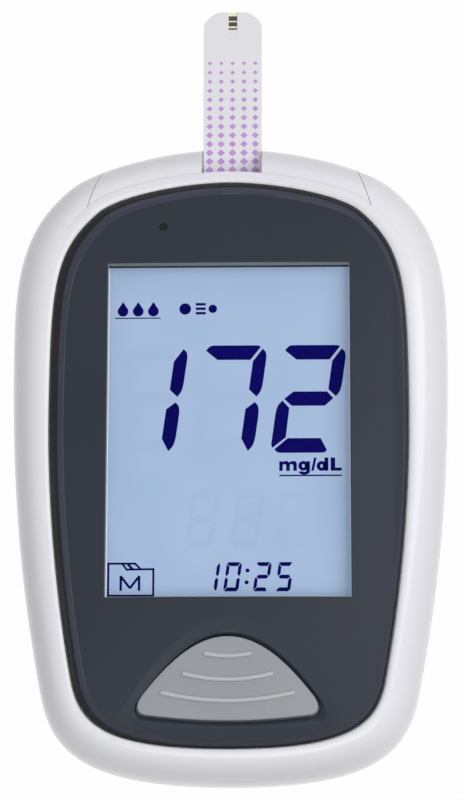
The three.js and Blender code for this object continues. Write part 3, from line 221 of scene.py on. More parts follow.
# Screws, set button and springs. Profiles are (radius, height) pairs.
SCREW_PROFILE = [
    (1.2, 0), (1.6, 0.12), (1.85, 0.5), (1.9, 0.9), (1.9, 1.4), (1.0, 1.4),
    (1.0, SCREW_HIGH[2] - SCREW_LOW[2]),
]
CROSS_DEPTH, CROSS_ARMS = 0.7, [(1.3, 0.25), (0.25, 1.3)]
SET_CAP_RADIUS, SET_FLANGE = 1.4, 0.8
SPRING_GAP, SPRING_PLAY = 0.2, 0.5
SPRING = {
    "Turns": 4.0, "First Radius": 2.75 * MM, "Last Radius": 1.6 * MM, "Wire Radius": 0.22 * MM,
}


def srgb(red, green, blue):
    """A colour as it looks on a screen, 0 to 255, as the linear colour that the shader takes."""
    def linear(value):
        value /= 255
        return value / 12.92 if value <= 0.04045 else ((value + 0.055) / 1.055) ** 2.4
    return (linear(red), linear(green), linear(blue), 1.0)


# Plans and solids: points are arrays in millimetres, faces point outwards
def outline(shares, half_width, half_length, centre_y, margin=0.0):
    """A symmetric outline, anticlockwise seen from above, from its bottom centre."""
    t = np.linspace(0, 1, CURVE_STEPS + 1)[:, None]
    curves = []
    for start in range(0, len(shares) - 1, 3):
        a, b, c, d = (np.array(point, float) for point in shares[start:start + 4])
        curve = a * (1 - t) ** 3 + 3 * b * t * (1 - t) ** 2 + 3 * c * t ** 2 * (1 - t) + d * t ** 3
        curves.append(curve[1:] if start else curve)
    right = np.concatenate(curves)
    ring = np.concatenate([right[::-1], right[1:-1] * (-1, 1)])
    return ring * (half_width + margin, half_length + margin) + (0, centre_y)


def plate_outline(inset):
    return outline(PLATE_SHARES, PLATE_HALF_X, PLATE_HALF_Y, PLATE_Y, -inset)


def button_outline(margin):
    return outline(BUTTON_SHARES, BUTTON_WIDTH / 2, BUTTON_LENGTH / 2, BUTTON_Y, margin)


CASE_OUTLINE = outline(CASE_SHARES, CASE_HALF_X, CASE_HALF_Y, CASE_Y)
PLATE_OUTLINE = plate_outline(0)


def between(share):
    """The plan at a share of the way from the case's widest outline to the faceplate's edge."""
    return CASE_OUTLINE + (PLATE_OUTLINE - CASE_OUTLINE) * share


def plate_line(widths, inset=0.0):
    """A line inside the plate's edge by a width at the left, right, top and bottom, and inset."""
    left, right, top, bottom = widths + inset
    line = outline(
        PLATE_SHARES, PLATE_HALF_X - (left + right) / 2,
        PLATE_HALF_Y - (top + bottom) / 2, PLATE_Y + (bottom - top) / 2,
    )
    return line + ((left - right) / 2, 0)


def corner_curve(before, corner, after, ease, steps):
    """Points of a short curve that takes a corner's place between its neighbours."""
    start, end = (
        corner + (point - corner) * min(0.5, ease / np.linalg.norm(point - corner))
        for point in (before, after)
    )
    return [start * (1 - t) ** 2 + 2 * corner * t * (1 - t) + end * t ** 2
            for t in np.linspace(0, 1, steps)]


def quarter(radius, steps):
    """Pairs round a quarter circle: the first falls from the radius to 0, the other rises."""
    return [(radius * (1 - math.sin(turn)), radius * (1 - math.cos(turn)))
            for turn in np.linspace(0, math.pi / 2, steps)]


def raised(plan, z):
    plan = np.asarray(plan, float)
    return np.column_stack([plan, np.broadcast_to(z, len(plan))])


def loft(rings, closed=False):
    """A surface through rings of equal counts. An open one gets a flat end on both sides."""
    rings = np.array(rings, float)
    turns, count = rings.shape[:2]
    faces = []
    for j in range(turns if closed else turns - 1):
        low, up = j * count, (j + 1) % turns * count
        for i in range(count):
            following = (i + 1) % count
            faces.append((low + i, low + following, up + following, up + i))
    if not closed:
        faces.append(tuple(reversed(range(count))))
        faces.append(tuple(range((turns - 1) * count, turns * count)))
    return rings.reshape(-1, 3), faces


def prism(plan, z0, z1):
    return loft([raised(plan, z0), raised(plan, z1)])


def rectangle(x0, x1, y0, y1):
    return np.array([(x0, y0), (x1, y0), (x1, y1), (x0, y1)], float)


def upright(x, y, half_x, half_y, z0, z1):
    return prism(rectangle(x - half_x, x + half_x, y - half_y, y + half_y), z0, z1)


def circle(x, y, radius, sides=48):
    turn = np.linspace(0, 2 * math.pi, sides, endpoint=False)
    return np.column_stack([x + radius * np.cos(turn), y + radius * np.sin(turn)])


def rounded(x0, x1, y0, y1, radius, steps=6):
    """A rectangle with round corners, anticlockwise."""
    corners = [(x1 - radius, y0 + radius), (x1 - radius, y1 - radius),
               (x0 + radius, y1 - radius), (x0 + radius, y0 + radius)]
    points = []
    for side, (x, y) in enumerate(corners):
        for turn in np.linspace(side - 1, side, steps + 1) * math.pi / 2:
            points.append((x + radius * math.cos(turn), y + radius * math.sin(turn)))
    return np.array(points)


def lathe(profile, sides=48, matrix=None, offset=(0, 0, 0)):
    """A closed solid turned about Z from (radius, height) pairs, bottom first, then placed."""
    points, faces = loft([raised(circle(0, 0, radius, sides), z) for radius, z in profile])
    turned = points @ np.array(matrix.to_3x3()).T if matrix else points
    return turned + np.array(offset, float), faces


def together(solids):
    """Several solids in one mesh."""
    points, faces, start = [], [], 0
    for more_points, more_faces in solids:
        points.append(more_points)
        faces += [tuple(start + i for i in face) for face in more_faces]
        start += len(more_points)
    return np.concatenate(points), faces


# Blender objects
BEVEL_ANGLE = math.radians(40)
SMOOTH_ANGLE = math.radians(32)


def as_object(name, solid):
    points, faces = solid
    mesh = bpy.data.meshes.new(name)
    mesh.from_pydata((points * MM).tolist(), [], faces)
    mesh.validate()
    made = bpy.data.objects.new(name, mesh)
    bpy.context.scene.collection.objects.link(made)
    return made


def settle(made):
    """Turns the object's modifiers into its own plain mesh."""
    evaluated = made.evaluated_get(bpy.context.evaluated_depsgraph_get())
    mesh = bpy.data.meshes.new_from_object(evaluated)
    made.modifiers.clear()
    made.data = mesh
    return made


def combine(made, operation, *solids):
    for solid in solids:
        tool = solid if isinstance(solid, bpy.types.Object) else as_object("tool", solid)
        modifier = made.modifiers.new("combine", "BOOLEAN")
        modifier.operation = operation
        modifier.solver = "EXACT"
        modifier.object = tool
        settle(made)
        bpy.data.objects.remove(tool)


def cut(made, *solids):
    combine(made, "DIFFERENCE", *solids)


def bevel(made, width):
    modifier = made.modifiers.new("bevel", "BEVEL")
    modifier.width = width * MM
    modifier.segments = 2
    modifier.limit_method = "ANGLE"
    modifier.angle_limit = BEVEL_ANGLE
    return settle(made)


def dress(made, look, nodes=(), body="meter_body", smooth=True):
    """Gives a finished piece its finish and its body, and hides the nodes it stands for."""
    made.data.materials.clear()
    made.data.materials.append(LOOKS[look])
    if smooth:
        made.data.shade_smooth()
        made.data.set_sharp_from_angle(angle=SMOOTH_ANGLE)
    if nodes:
        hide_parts(*nodes)
    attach(made, body)


# Node helpers
def feed(node, values):
    """Sets inputs by name or number, each to a value, a socket or a node's first output."""
    for key, value in values.items():
        if isinstance(value, bpy.types.Node):
            value = value.outputs[0]
        if isinstance(value, bpy.types.NodeSocket):
            node.id_data.links.new(value, node.inputs[key])
        else:
            node.inputs[key].default_value = value


def new_node(tree, kind, values=(), **settings):
    made = tree.nodes.new(kind)
    for name, value in settings.items():
        setattr(made, name, value)
    feed(made, dict(values))
    return made


def calculate(operation, *values, clamp=False):
    """A math node in the tree of its values, each of which is a node, a socket or a number."""
    tree = next(value.id_data for value in values if hasattr(value, "id_data"))
    return new_node(tree, "ShaderNodeMath", enumerate(values), operation=operation, use_clamp=clamp)


def new_group(name, kind, inputs, outputs):
    """A node tree, the sockets of its inputs, and its output node. Names are listed by type."""
    tree = bpy.data.node_groups.new(name, f"{kind}NodeTree")
    for direction, sockets in (("INPUT", inputs), ("OUTPUT", outputs)):
        for socket_kind, names in sockets.items():
            for socket in names:
                tree.interface.new_socket(
                    name=socket, in_out=direction, socket_type=f"NodeSocket{socket_kind}",
                )
    return tree, tree.nodes.new("NodeGroupInput").outputs, tree.nodes.new("NodeGroupOutput")


# Shader groups that the finishes share
GRAIN_HEIGHT = 0.4
BROAD_SCALE = 90.0
MOTTLE_SCALE = 2600.0


def make_moulded_grain():
    """Fine grain of a moulded or cast surface: its roughness and its height for a bump."""
    tree, given, result = new_group("moulded_grain", "Shader", {
        "Vector": ["Vector"], "Float": ["Grain Size", "Smoothest", "Roughest"],
    }, {"Float": ["Roughness", "Height"]})
    fine = new_node(tree, "ShaderNodeTexNoise", {
        "Vector": given["Vector"], "Scale": calculate("DIVIDE", 1 / MM, given["Grain Size"]),
        "Detail": 3.0, "Roughness": 0.6,
    })
    broad = new_node(tree, "ShaderNodeTexNoise", {
        "Vector": given["Vector"], "Scale": BROAD_SCALE, "Detail": 2.0,
    })
    feed(result, {
        "Roughness": new_node(tree, "ShaderNodeMapRange", {
            "Value": calculate("MULTIPLY", calculate("ADD", fine, broad), 0.5),
            "From Min": 0.3, "From Max": 0.7,
            "To Min": given["Smoothest"], "To Max": given["Roughest"],
        }),
        "Height": calculate("MULTIPLY", fine, GRAIN_HEIGHT),
    })
    return tree


def make_soft_tone():
    """A slow drift between two near tones, with a finer mottle over it."""
    tree, given, result = new_group("soft_tone", "Shader", {
        "Vector": ["Vector"], "Color": ["Tone", "Other Tone"], "Float": ["Patch Size", "Mottle"],
    }, {"Color": ["Color"]})
    slow = new_node(tree, "ShaderNodeTexNoise", {
        "Vector": given["Vector"], "Scale": calculate("DIVIDE", 1 / MM, given["Patch Size"]),
        "Detail": 1.0,
    })
    quick = new_node(tree, "ShaderNodeTexNoise", {
        "Vector": given["Vector"], "Scale": MOTTLE_SCALE, "Detail": 2.0,
    })
    spread = new_node(tree, "ShaderNodeMapRange", {
        "Value": new_node(tree, "ShaderNodeMix", {0: given["Mottle"], 2: slow, 3: quick}),
        "From Min": 0.35, "From Max": 0.65,
    })
    tones = new_node(tree, "ShaderNodeMix", {
        0: spread, 6: given["Tone"], 7: given["Other Tone"],
    }, data_type="RGBA")
    feed(result, {"Color": tones.outputs[2]})
    return tree


MOULDED_GRAIN = make_moulded_grain()
SOFT_TONE = make_soft_tone()
BUMP_STRENGTH, GLOW_STRENGTH = 1.0, 0.3


def finish_of(name, tone, other, roughness, grain, bump, patch=12.0, mottle=0.3,
              stretch=(1, 1, 1), specular=0.5, glow=None, **sockets):
    """A material: two near tones, a roughness range and a grain, all on Object coordinates."""
    look = bpy.data.materials.new(name)
    look.use_nodes = True
    tree = look.node_tree
    place = new_node(tree, "ShaderNodeMapping", {
        "Vector": new_node(tree, "ShaderNodeTexCoord").outputs["Object"], "Scale": stretch,
    })
    tones = new_node(tree, "ShaderNodeGroup", {
        "Vector": place, "Tone": srgb(*tone), "Other Tone": srgb(*other), "Patch Size": patch,
        "Mottle": mottle,
    }, node_tree=SOFT_TONE)
    surface = new_node(tree, "ShaderNodeGroup", {
        "Vector": place, "Smoothest": roughness[0], "Roughest": roughness[1],
        "Grain Size": grain,
    }, node_tree=MOULDED_GRAIN)
    relief = new_node(tree, "ShaderNodeBump", {
        "Height": surface.outputs["Height"], "Strength": BUMP_STRENGTH, "Distance": bump * MM,
    })
    if glow:
        sockets |= {"Emission_Color": srgb(*glow), "Emission_Strength": GLOW_STRENGTH}
    feed(tree.nodes["Principled BSDF"], {
        "Base Color": tones, "Roughness": surface.outputs["Roughness"], "Normal": relief,
        "Specular IOR Level": specular,
        **{socket.replace("_", " "): value for socket, value in sockets.items()},
    })
    return look


# Finishes: two tones, a range of roughness, grain size, depth of the bump, and the rest by name
FINISHES = {
    "shell_white": ((228, 228, 233), (224, 224, 230), (0.16, 0.24), 0.6, 0.004, dict(
        patch=30.0, mottle=0.1, specular=0.24, Coat_Weight=0.12, Coat_Roughness=0.06)),
    "plate_charcoal": ((42, 47, 57), (38, 43, 54), (0.34, 0.44), 0.16, 0.006, dict(
        patch=20.0, mottle=0.45, specular=0.18)),
    # The band's near-black is painted shade along the faceplate's edge.
    "band_painted_shade": ((30, 28, 30), (26, 24, 26), (0.14, 0.2), 0.4, 0.002, dict(specular=0.2)),
    # The bevel's bluish tone, lighter than the plate, is a painted highlight on the bevel.
    "bevel_painted_highlight": ((52, 56, 70), (48, 52, 66), (0.3, 0.4), 0.16, 0.004, dict(
        patch=20.0, mottle=0.45, specular=0.25)),
    # A grey-green lighter than the plate: painted light on the display opening's walls.
    "wall_painted_light": ((134, 141, 138), (126, 133, 130), (0.4, 0.5), 0.2, 0.002, dict(specular=0.2)),
    "lens_brown": ((34, 30, 30), (28, 25, 25), (0.3, 0.4), 0.2, 0.001, dict(specular=0.1)),
    "button_grey": ((146, 149, 153), (142, 145, 150), (0.42, 0.52), 0.14, 0.006, dict(
        patch=8.0, mottle=0.5, specular=0.35)),
    # The ridges' lighter grey is a painted highlight on their lit tops.
    "button_ridge_painted_highlight": ((180, 184, 186), (176, 180, 183), (0.38, 0.48), 0.14, 0.004, dict(
        patch=8.0, mottle=0.5, specular=0.35)),
    "steel": ((188, 190, 193), (170, 172, 176), (0.24, 0.38), 0.5, 0.004, dict(
        stretch=(1, 6, 6), Metallic=1.0)),
    "gold_contact": ((214, 178, 92), (198, 160, 76), (0.22, 0.34), 0.4, 0.003, dict(Metallic=1.0)),
    "brass": ((202, 166, 92), (184, 148, 78), (0.28, 0.42), 0.5, 0.02, dict(
        stretch=(1, 5, 1), Metallic=1.0)),
    "black_plastic": ((28, 29, 32), (22, 23, 26), (0.42, 0.56), 0.2, 0.02, {}),
    "black_rubber": ((36, 36, 40), (30, 30, 33), (0.72, 0.86), 0.25, 0.02, {}),
    "board_green": ((30, 92, 54), (24, 78, 46), (0.3, 0.42), 0.8, 0.02, dict(
        patch=3.0, mottle=0.5)),
    "diffuser_white": ((243, 245, 249), (238, 241, 246), (0.45, 0.55), 0.3, 0.02, {}),
    "ceramic": ((236, 233, 224), (228, 224, 213), (0.35, 0.5), 0.3, 0.02, {}),
    "cell_jacket": ((58, 112, 158), (50, 100, 146), (0.26, 0.34), 0.5, 0.003, dict(
        Coat_Weight=0.5, Coat_Roughness=0.1)),
    "strip_white": ((236, 236, 241), (232, 232, 237), (0.3, 0.4), 0.3, 0.003, dict(specular=0.35)),
    "strip_film": ((226, 226, 230), (222, 222, 227), (0.24, 0.34), 0.3, 0.003, dict(
        specular=0.35)),
    "strip_purple": ((192, 148, 214), (186, 142, 208), (0.35, 0.45), 0.2, 0.02, dict(
        patch=2.0, specular=0.3)),
    "strip_carbon": ((56, 56, 60), (44, 44, 48), (0.5, 0.62), 0.15, 0.02, {}),
    "strip_cream": ((240, 238, 205), (228, 224, 180), (0.35, 0.45), 0.2, 0.02, {}),
    "lcd_glass": ((150, 169, 196), (143, 164, 193), (0.3, 0.38), 0.25, 0.001, dict(
        patch=9.0, mottle=0.35, specular=0.1, glow=(160, 184, 216))),
    "lcd_ghost": ((147, 167, 195), (143, 164, 192), (0.3, 0.38), 0.25, 0.001, dict(
        specular=0.1, glow=(158, 182, 217))),
    # Bright and glowing: a painted highlight for the thin lines at the display's edges.
    "lcd_painted_edge_light": ((232, 240, 250), (226, 236, 248), (0.3, 0.38), 0.25, 0.001, dict(
        specular=0.2, glow=(225, 235, 250))),
    "lcd_segment": ((10, 6, 98), (7, 4, 90), (0.5, 0.6), 0.2, 0.001, dict(specular=0.02)),
    "window_clear": ((50, 56, 70), (46, 52, 66), (0.03, 0.06), 1.0, 0.0005, dict(
        Alpha=0.01, specular=0.05)),
}
LOOKS = {name: finish_of(name, *row[:-1], **row[-1]) for name, row in FINISHES.items()}


# Case
def front_height(share):
    """Height of the front shell at a share of the way in, at each point of the outline."""
    bottom, crest = FRONT_LOW[2], SEAT + CREST_RISE
    outer = max(0.0, 1 - share / CREST_SHARE)
    inner = max(0.0, (share - CREST_SHARE) / (1 - CREST_SHARE))
    curve = bottom + (crest - bottom) * math.sqrt(1 - outer ** 2)
    curve -= (CREST_RISE - BEAD_EDGE_RISE) * inner ** BEAD_EDGE_POWER
    if share < CREASE_SHARE:
        dip = max(0.0, (share - CREASE_START) / (CREASE_SHARE - CREASE_START)) ** CREASE_OUTER_POWER
    else:
        dip = max(0.0, (CREASE_END - share) / (CREASE_END - CREASE_SHARE)) ** CREASE_INNER_POWER
    start, end = CREASE_FADE
    along = np.clip((CASE_OUTLINE[:, 1] - start) / (end - start), 0, 1)
    return curve - CREASE_DIP * dip * (along * along * (3 - 2 * along))


def front_rings():
    """Up the shoulder, over the bead, down to the faceplate's ledge and back down inside."""
    turn = np.linspace(0, math.pi / 2, SHOULDER_STEPS)
    shares = np.concatenate([
        CREST_SHARE * (1 - np.cos(turn)), CREASE_SHARE + CREASE_RINGS,
        np.linspace(CREST_SHARE, 1, 10)[1:],
    ])
    rings = [raised(between(share), front_height(share)) for share in np.sort(shares)]
    ledge_share, wall_share = 1 + LEDGE_WIDTH / SIDE_BORDER, WALL / SIDE_BORDER
    inside = np.column_stack([
        wall_share + (1 - wall_share) * (1 - np.cos(turn)),
        FRONT_LOW[2] + (LEDGE_BOTTOM - FRONT_LOW[2]) * np.sin(turn),
    ])[::-1]
    ledge = [(1, SEAT), (ledge_share, SEAT), (ledge_share, LEDGE_BOTTOM)]
    return rings + [raised(between(share), z) for share, z in [*ledge, *inside]]


def cap_space(side, far):
    """Space of the top cap, widened by one gap at the two seams and by another at the crease."""
    top = CASE_Y + CASE_HALF_Y
    seam_y = top - CAP_SEAM_INSET
    run_x, run_y = CAP_SEAM_RUN
    lift = (top + OVERRUN - seam_y) / -run_y
    inner = (CAP_SEAM_X + run_x + side, seam_y + run_y)
    outer = (CAP_SEAM_X - run_x * lift + side, top + OVERRUN)
    slope = (inner[0] - outer[0]) / (outer[1] - inner[1])
    crease = between(CREASE_SHARE + far / SIDE_BORDER)
    crease = crease[(crease[:, 1] > CASE_Y) & (crease[:, 0] >= 0)]
    crease = crease[np.argsort(crease[:, 0])]
    past = crease[:, 0] - outer[0] - slope * (outer[1] - crease[:, 1])
    k = int(np.argmax(past > 0))
    end = crease[k - 1] - (crease[k] - crease[k - 1]) * past[k - 1] / (past[k] - past[k - 1])
    right = np.concatenate([crease[1:k - 1], [end, outer]])
    plan = np.concatenate([right, right[::-1] * (-1, 1), [(0, crease[0, 1])]])
    return prism(plan, FRONT_LOW[2] - OVERRUN, SEAT + CREST_RISE + OVERRUN)


def make_front_shell_and_cap():
    ring = loft(front_rings(), closed=True)
    shell = as_object("front_shell_moulding", ring)
    cut(shell, cap_space(CAP_SEAM_GAP / 2, CREASE_GAP / 2))
    for x, y in SCREW_PLACES:
        boss = prism(circle(x, y, BOSS_RADIUS), BOARD_HIGH[2] + GAP, LEDGE_BOTTOM + BOSS_ROOT)
        combine(shell, "UNION", boss)
        cut(shell, prism(circle(x, y, SHANK_BORE), BOARD_HIGH[2], SCREW_HIGH[2] + GAP))
    dress(shell, "shell_white", ["front_shell"])
    cap = as_object("top_cap_moulding", ring)
    combine(cap, "INTERSECT", cap_space(-CAP_SEAM_GAP / 2, -CREASE_GAP / 2))
    notch = rectangle(STRIP_LOW[0] - NOTCH_PLAY, STRIP_HIGH[0] + NOTCH_PLAY, CASE_Y, STRIP_HIGH[1])
    cut(cap, prism(notch, STRIP_LOW[2] - NOTCH_PLAY, SEAT + CREST_RISE + OVERRUN))
    dress(cap, "shell_white", ["top_cap"])


def eased_opening(plan_at, depth_end, surface=0, rounding=EDGE_ROUNDING):
    """A tool that cuts upwards from a flat face at z = surface, with a round outer edge."""
    rings = [raised(plan_at(rounding), surface - OVERRUN)]
    rings += [raised(plan_at(inset), surface + depth) for inset, depth in quarter(rounding, 4)]
    return loft([*rings, raised(plan_at(0), depth_end)])


def round_hole(x, y, radius, depth_end, sides=48):
    return eased_opening(lambda grow: circle(x, y, radius + grow, sides), depth_end)


def door_recess(grow):
    edge = DOOR_GAP + grow
    return rounded(DOOR_LOW[0] - edge, DOOR_HIGH[0] + edge, DOOR_LOW[1] - edge,
                   DOOR_PANEL_END + edge, DOOR_CORNER + edge)


def make_rear_shell():
    top = CASE_HIGH[2]
    turn = np.linspace(0, math.pi / 2, SHOULDER_STEPS)
    across, down = 1 - np.cos(turn) ** BACK_POWER, np.sin(turn) ** BACK_POWER
    across[-1] = 1
    back_share, wall_share = BACK_INSET / SIDE_BORDER, WALL / SIDE_BORDER
    outside = np.column_stack([back_share * across, top * (1 - down)])[::-1]
    inside = np.column_stack([
        wall_share + (back_share - wall_share / 2) * across, top + (WALL - top) * down,
    ])
    shell = as_object("rear_shell_moulding", loft(
        [raised(between(share), z) for share, z in np.concatenate([outside, inside])],
    ))
    under_board = BOARD_LOW[2] - GAP
    inner = wall_share + GAP / SIDE_BORDER
    skin = loft([
        *[raised(between(share), z) for share, z in outside],
        raised(between(inner), top), raised(between(inner), under_board),
    ])
    fittings = as_object("fittings", upright(
        0, (DOOR_LOW[1] + BAY_HIGH[1]) / 2, DOOR_HIGH[0] + BAY_WALL,
        (BAY_HIGH[1] - DOOR_LOW[1]) / 2 + BAY_WALL, WALL / 2, BAY_LOW[2] + BAY_WALL,
    ))
    combine(
        fittings, "UNION",
        upright(0, BAY_Y, BAY_HIGH[0] + BAY_WALL, BAY_HALF + BAY_WALL, WALL,
                    BAY_HIGH[2] + BAY_CEILING),
        upright(SET_X, SET_Y, *POCKET_HALF + BAY_WALL, WALL, POCKET_TOP + BAY_WALL),
        *[prism(circle(x, y, HEAD_BORE + TUBE_WALL), WALL / 2, under_board)
          for x, y in SCREW_PLACES],
        prism(circle(0, SOUNDER_Y, SOUNDER_SEAT + SOUNDER_WALL, 96), WALL / 2, SOUNDER_TOP),
    )
    combine(fittings, "INTERSECT", skin)
    combine(shell, "UNION", fittings)
    sound_holes = [(0, SOUNDER_Y), *circle(0, SOUNDER_Y, SOUND_HOLE_PITCH, 6)]
    cut(
        shell, eased_opening(door_recess, BAY_LOW[2]),
        upright(0, BAY_Y, BAY_HIGH[0], BAY_HALF, BAY_LOW[2] - GAP, BAY_HIGH[2]),
        upright(SET_X, SET_Y, *POCKET_HALF, WALL, POCKET_TOP),
        prism(circle(SET_X, SET_Y, SET_BORE), POCKET_TOP - OVERRUN,
              POCKET_TOP + BAY_WALL + OVERRUN),
        prism(circle(0, SOUNDER_Y, SOUNDER_SEAT, 96), WALL, SOUNDER_TOP + OVERRUN),
        *[round_hole(x, y, SOUND_HOLE, WALL + OVERRUN, 32) for x, y in sound_holes],
    )
    for x, y in SCREW_PLACES:
        cut(shell, round_hole(x, y, HEAD_BORE, SCREW_RECESS),
            prism(circle(x, y, SHANK_BORE), OVERRUN, under_board + OVERRUN))
    for node, end in ((LINK, -1), (PLUS, 1), (MINUS, 1)):
        low, high = box(node)
        tab_x = CELL_X if node == LINK else high[0] - (high[0] - low[0]) / 2
        cut(shell, upright(
            tab_x, BAY_Y + end * (BAY_HALF - GAP / 2), TAB_HALF + GAP,
            CONTACT_PLATE / 2 + 1.5 * GAP, BAY_HIGH[2] - OVERRUN,
            BAY_HIGH[2] + BAY_CEILING + OVERRUN,
        ))
    dress(shell, "shell_white", ["rear_shell"])


# Faceplate, with the display opening, the button's opening and its moat, and the sensor hole
def dome_at(plan):
    half_width = PLATE_HALF_X - BEVEL_WIDTHS[0]
    half_length = PLATE_HALF_Y - BEVEL_WIDTHS[2]
    across = np.maximum(0, 1 - (plan[:, 0] / half_width) ** 2)
    along = np.maximum(0, 1 - ((plan[:, 1] - PLATE_Y) / half_length) ** 2)
    return PLATE_DOME * across * along


def domed(plan, z):
    plan = np.asarray(plan, float)
    return raised(plan, z + dome_at(plan))


def divided(plan):
    """The same closed plan with its long edges divided."""
    points = []
    for start, end in zip(plan, np.roll(plan, -1, axis=0)):
        count = max(1, math.ceil(np.linalg.norm(end - start) / VIEW_STEP))
        points += [start + (end - start) * k / count for k in range(count)]
    return np.array(points)


def domed_opening(plan_at, rounding):
    """A tool that cuts down through the dome, with a round upper edge."""
    return loft([
        domed(plan_at(0), PLATE_LOW[2] - OVERRUN),
        *[domed(plan_at(grow), PLATE_TOP - drop) for drop, grow in quarter(rounding, 5)],
        domed(plan_at(rounding), PLATE_TOP + OVERRUN),
    ])


def view_plan(grow):
    """The display opening's plan, with its long edges divided so that they follow the dome."""
    return divided(rounded(
        VIEW_LOW[0] - grow, VIEW_HIGH[0] + grow, VIEW_LOW[1] - grow, VIEW_HIGH[1] + grow,
        max(VIEW_LEAST_CORNER, VIEW_CORNER + grow),
    ))


def eased_line(points, ease):
    """Points of a line whose inner corners are replaced by short curves."""
    points = [np.array(point, float) for point in points]
    eased = [points[0]]
    for around in zip(points, points[1:], points[2:]):
        eased += corner_curve(*around, ease, 5)
    return [*eased, points[-1]]


def make_faceplate():
    ceiling = WINDOW_HIGH[2] + GAP
    bevel_start, bevel_end = plate_line(SHADE_BAND_WIDTHS, BAND_GROOVE), plate_line(BEVEL_WIDTHS)
    groove_z = PLATE_TOP - BAND_GROOVE
    rings = [
        raised(plate_outline(PLATE_RIM), ceiling), raised(plate_outline(PLATE_RIM), PLATE_LOW[2]),
        raised(bevel_end, PLATE_LOW[2]), raised(bevel_end, groove_z),
    ]
    edge = [(0, groove_z), (0, PLATE_TOP), (BEVEL_EASE, PLATE_TOP)]
    for inset, z in eased_line(edge, BAND_GROOVE):
        rings.append(domed(plate_line(BEVEL_WIDTHS, inset), z))
    inset = BEVEL_EASE + PLATE_RING_STEP
    while inset < PLATE_HALF_X - BEVEL_WIDTHS[0]:
        rings.append(domed(plate_line(BEVEL_WIDTHS, inset), PLATE_TOP))
        inset += PLATE_RING_STEP
    plate = as_object("faceplate_moulding", loft(rings))
    first, full = MOAT[0][0], MOAT[2][0]
    moat = [raised(button_outline(first), PLATE_LOW[2] - OVERRUN)]
    for margin, depth in MOAT:
        off = min(1.0, (margin - first) / (full - first))
        moat.append(domed(button_outline(margin) + MOAT_SHIFT * off, PLATE_TOP - depth))
    moat.append(domed(button_outline(MOAT[-1][0]) + MOAT_SHIFT, PLATE_TOP + OVERRUN))
    x, y = np.mean(box("sensor_lens"), axis=0)[:2]
    cut(
        plate, domed_opening(view_plan, VIEW_ROUNDING), loft(moat),
        domed_opening(lambda grow: circle(x, y, SENSOR_HOLE + grow, 32), SENSOR_ROUNDING),
    )
    dress(plate, "plate_charcoal", ["faceplate"])

    under = PLATE_LOW[2] + PLATE_EASE
    outer, inner = plate_outline(PLATE_GAP), plate_line(SHADE_BAND_WIDTHS)
    # The bevel ring inside the band, in the bluish tone of a painted highlight.
    bevel = [raised(bevel_end, under), raised(bevel_start, under)]
    for share, z in ((0, PLATE_BAND_Z - BAND_GROOVE), (0.03, PLATE_BAND_Z), (0.9, PLATE_TOP),
                     (1, groove_z)):
        bevel.append(domed(bevel_start + (bevel_end - bevel_start) * share, z))
    dress(as_object("faceplate_bevel", loft(bevel, closed=True)), "bevel_painted_highlight")
    # The band round the plate's edge, in the near-black of painted shade.
    painted_shade_band = [raised(inner, under), raised(outer, under)]
    for turn in np.linspace(0, math.pi / 2, 12):
        z = PLATE_EDGE_Z + (PLATE_BAND_Z - PLATE_EDGE_Z - BAND_GROOVE) * math.sin(turn)
        painted_shade_band.append(domed(outer + (inner - outer) * (1 - math.cos(turn)), z))
    dress(as_object("faceplate_band", loft(painted_shade_band, closed=True)), "band_painted_shade")

    # A thin sheet over the opening's walls, in the light grey-green of painted light.
    wall, behind = view_plan(-LIT_SHEET_THICKNESS), view_plan(LIT_SHEET_BEHIND)
    bottom, rim = WINDOW_HIGH[2] + LIT_SHEET_THICKNESS, PLATE_TOP - VIEW_ROUNDING
    lit_sheet = [raised(behind, bottom), domed(behind, rim), domed(wall, rim), raised(wall, bottom)]
    dress(as_object("view_liner", loft(lit_sheet, closed=True)), "wall_painted_light", smooth=False)


def make_sensor_lens():
    low, high = box("sensor_lens")
    x, y = ((low + high) / 2)[:2]
    flange, barrel, shoulder = (high[0] - low[0]) / 2, SENSOR_BARREL, WINDOW_HIGH[2]
    top = PLATE_TOP + dome_at(np.array([[x, y]]))[0] - SENSOR_DEPTH
    lens = lathe([
        (flange - LENS_EASE, low[2]), (flange, low[2] + LENS_EASE),
        (flange, shoulder - LENS_EASE), (flange - LENS_EASE, shoulder), (barrel, shoulder),
        (barrel, top - LENS_ROUNDING), (barrel - LENS_ROUNDING, top), (0.2, top + 0.01),
    ], offset=(x, y, 0))
    dress(as_object("sensor_lens_moulding", lens), "lens_brown", ["sensor_lens"])


def make_main_button():
    flange_top = WINDOW_HIGH[2]
    flange_bottom = flange_top - BUTTON_FLANGE
    rings = [raised(button_outline(0), flange_bottom)]
    rings += [domed(button_outline(-inset), BUTTON_TOP - drop)
              for drop, inset in quarter(BUTTON_ROUNDING, 7)]
    edge, middle = button_outline(-BUTTON_ROUNDING), np.array([0, BUTTON_RINGS_Y])
    rings += [domed(middle + (edge - middle) * share, BUTTON_TOP) for share in BUTTON_RINGS]
    button = as_object("main_button_cap", loft(rings))
    combine(
        button, "UNION",
        prism(button_outline(BUTTON_FLANGE_MARGIN), flange_bottom, flange_top),
        prism(circle(0, BUTTON_Y, BUTTON_STEM), box("main_button")[0][2], flange_top),
    )
    dress(button, "button_grey", ["main_button"], "main_button")


# Strip
def strip_plan(end_y, shrink=0.0):
    """The strip from end_y to its tip, whose corners are quarters of an ellipse."""
    half = (STRIP_HIGH[0] - STRIP_LOW[0]) / 2 - shrink
    turn = np.linspace(0, math.pi / 2, 13)
    corner_x = half - TIP_WIDTH * (1 - np.cos(turn) ** (2 / TIP_POWER))
    corner_y = STRIP_HIGH[1] - shrink - TIP_LENGTH * (1 - np.sin(turn) ** (2 / TIP_POWER))
    right = np.column_stack([corner_x, corner_y])
    plan = np.concatenate([[(half, end_y)], right, right[::-1] * (-1, 1), [(-half, end_y)]])
    return plan + (STRIP_MIDDLE, 0)


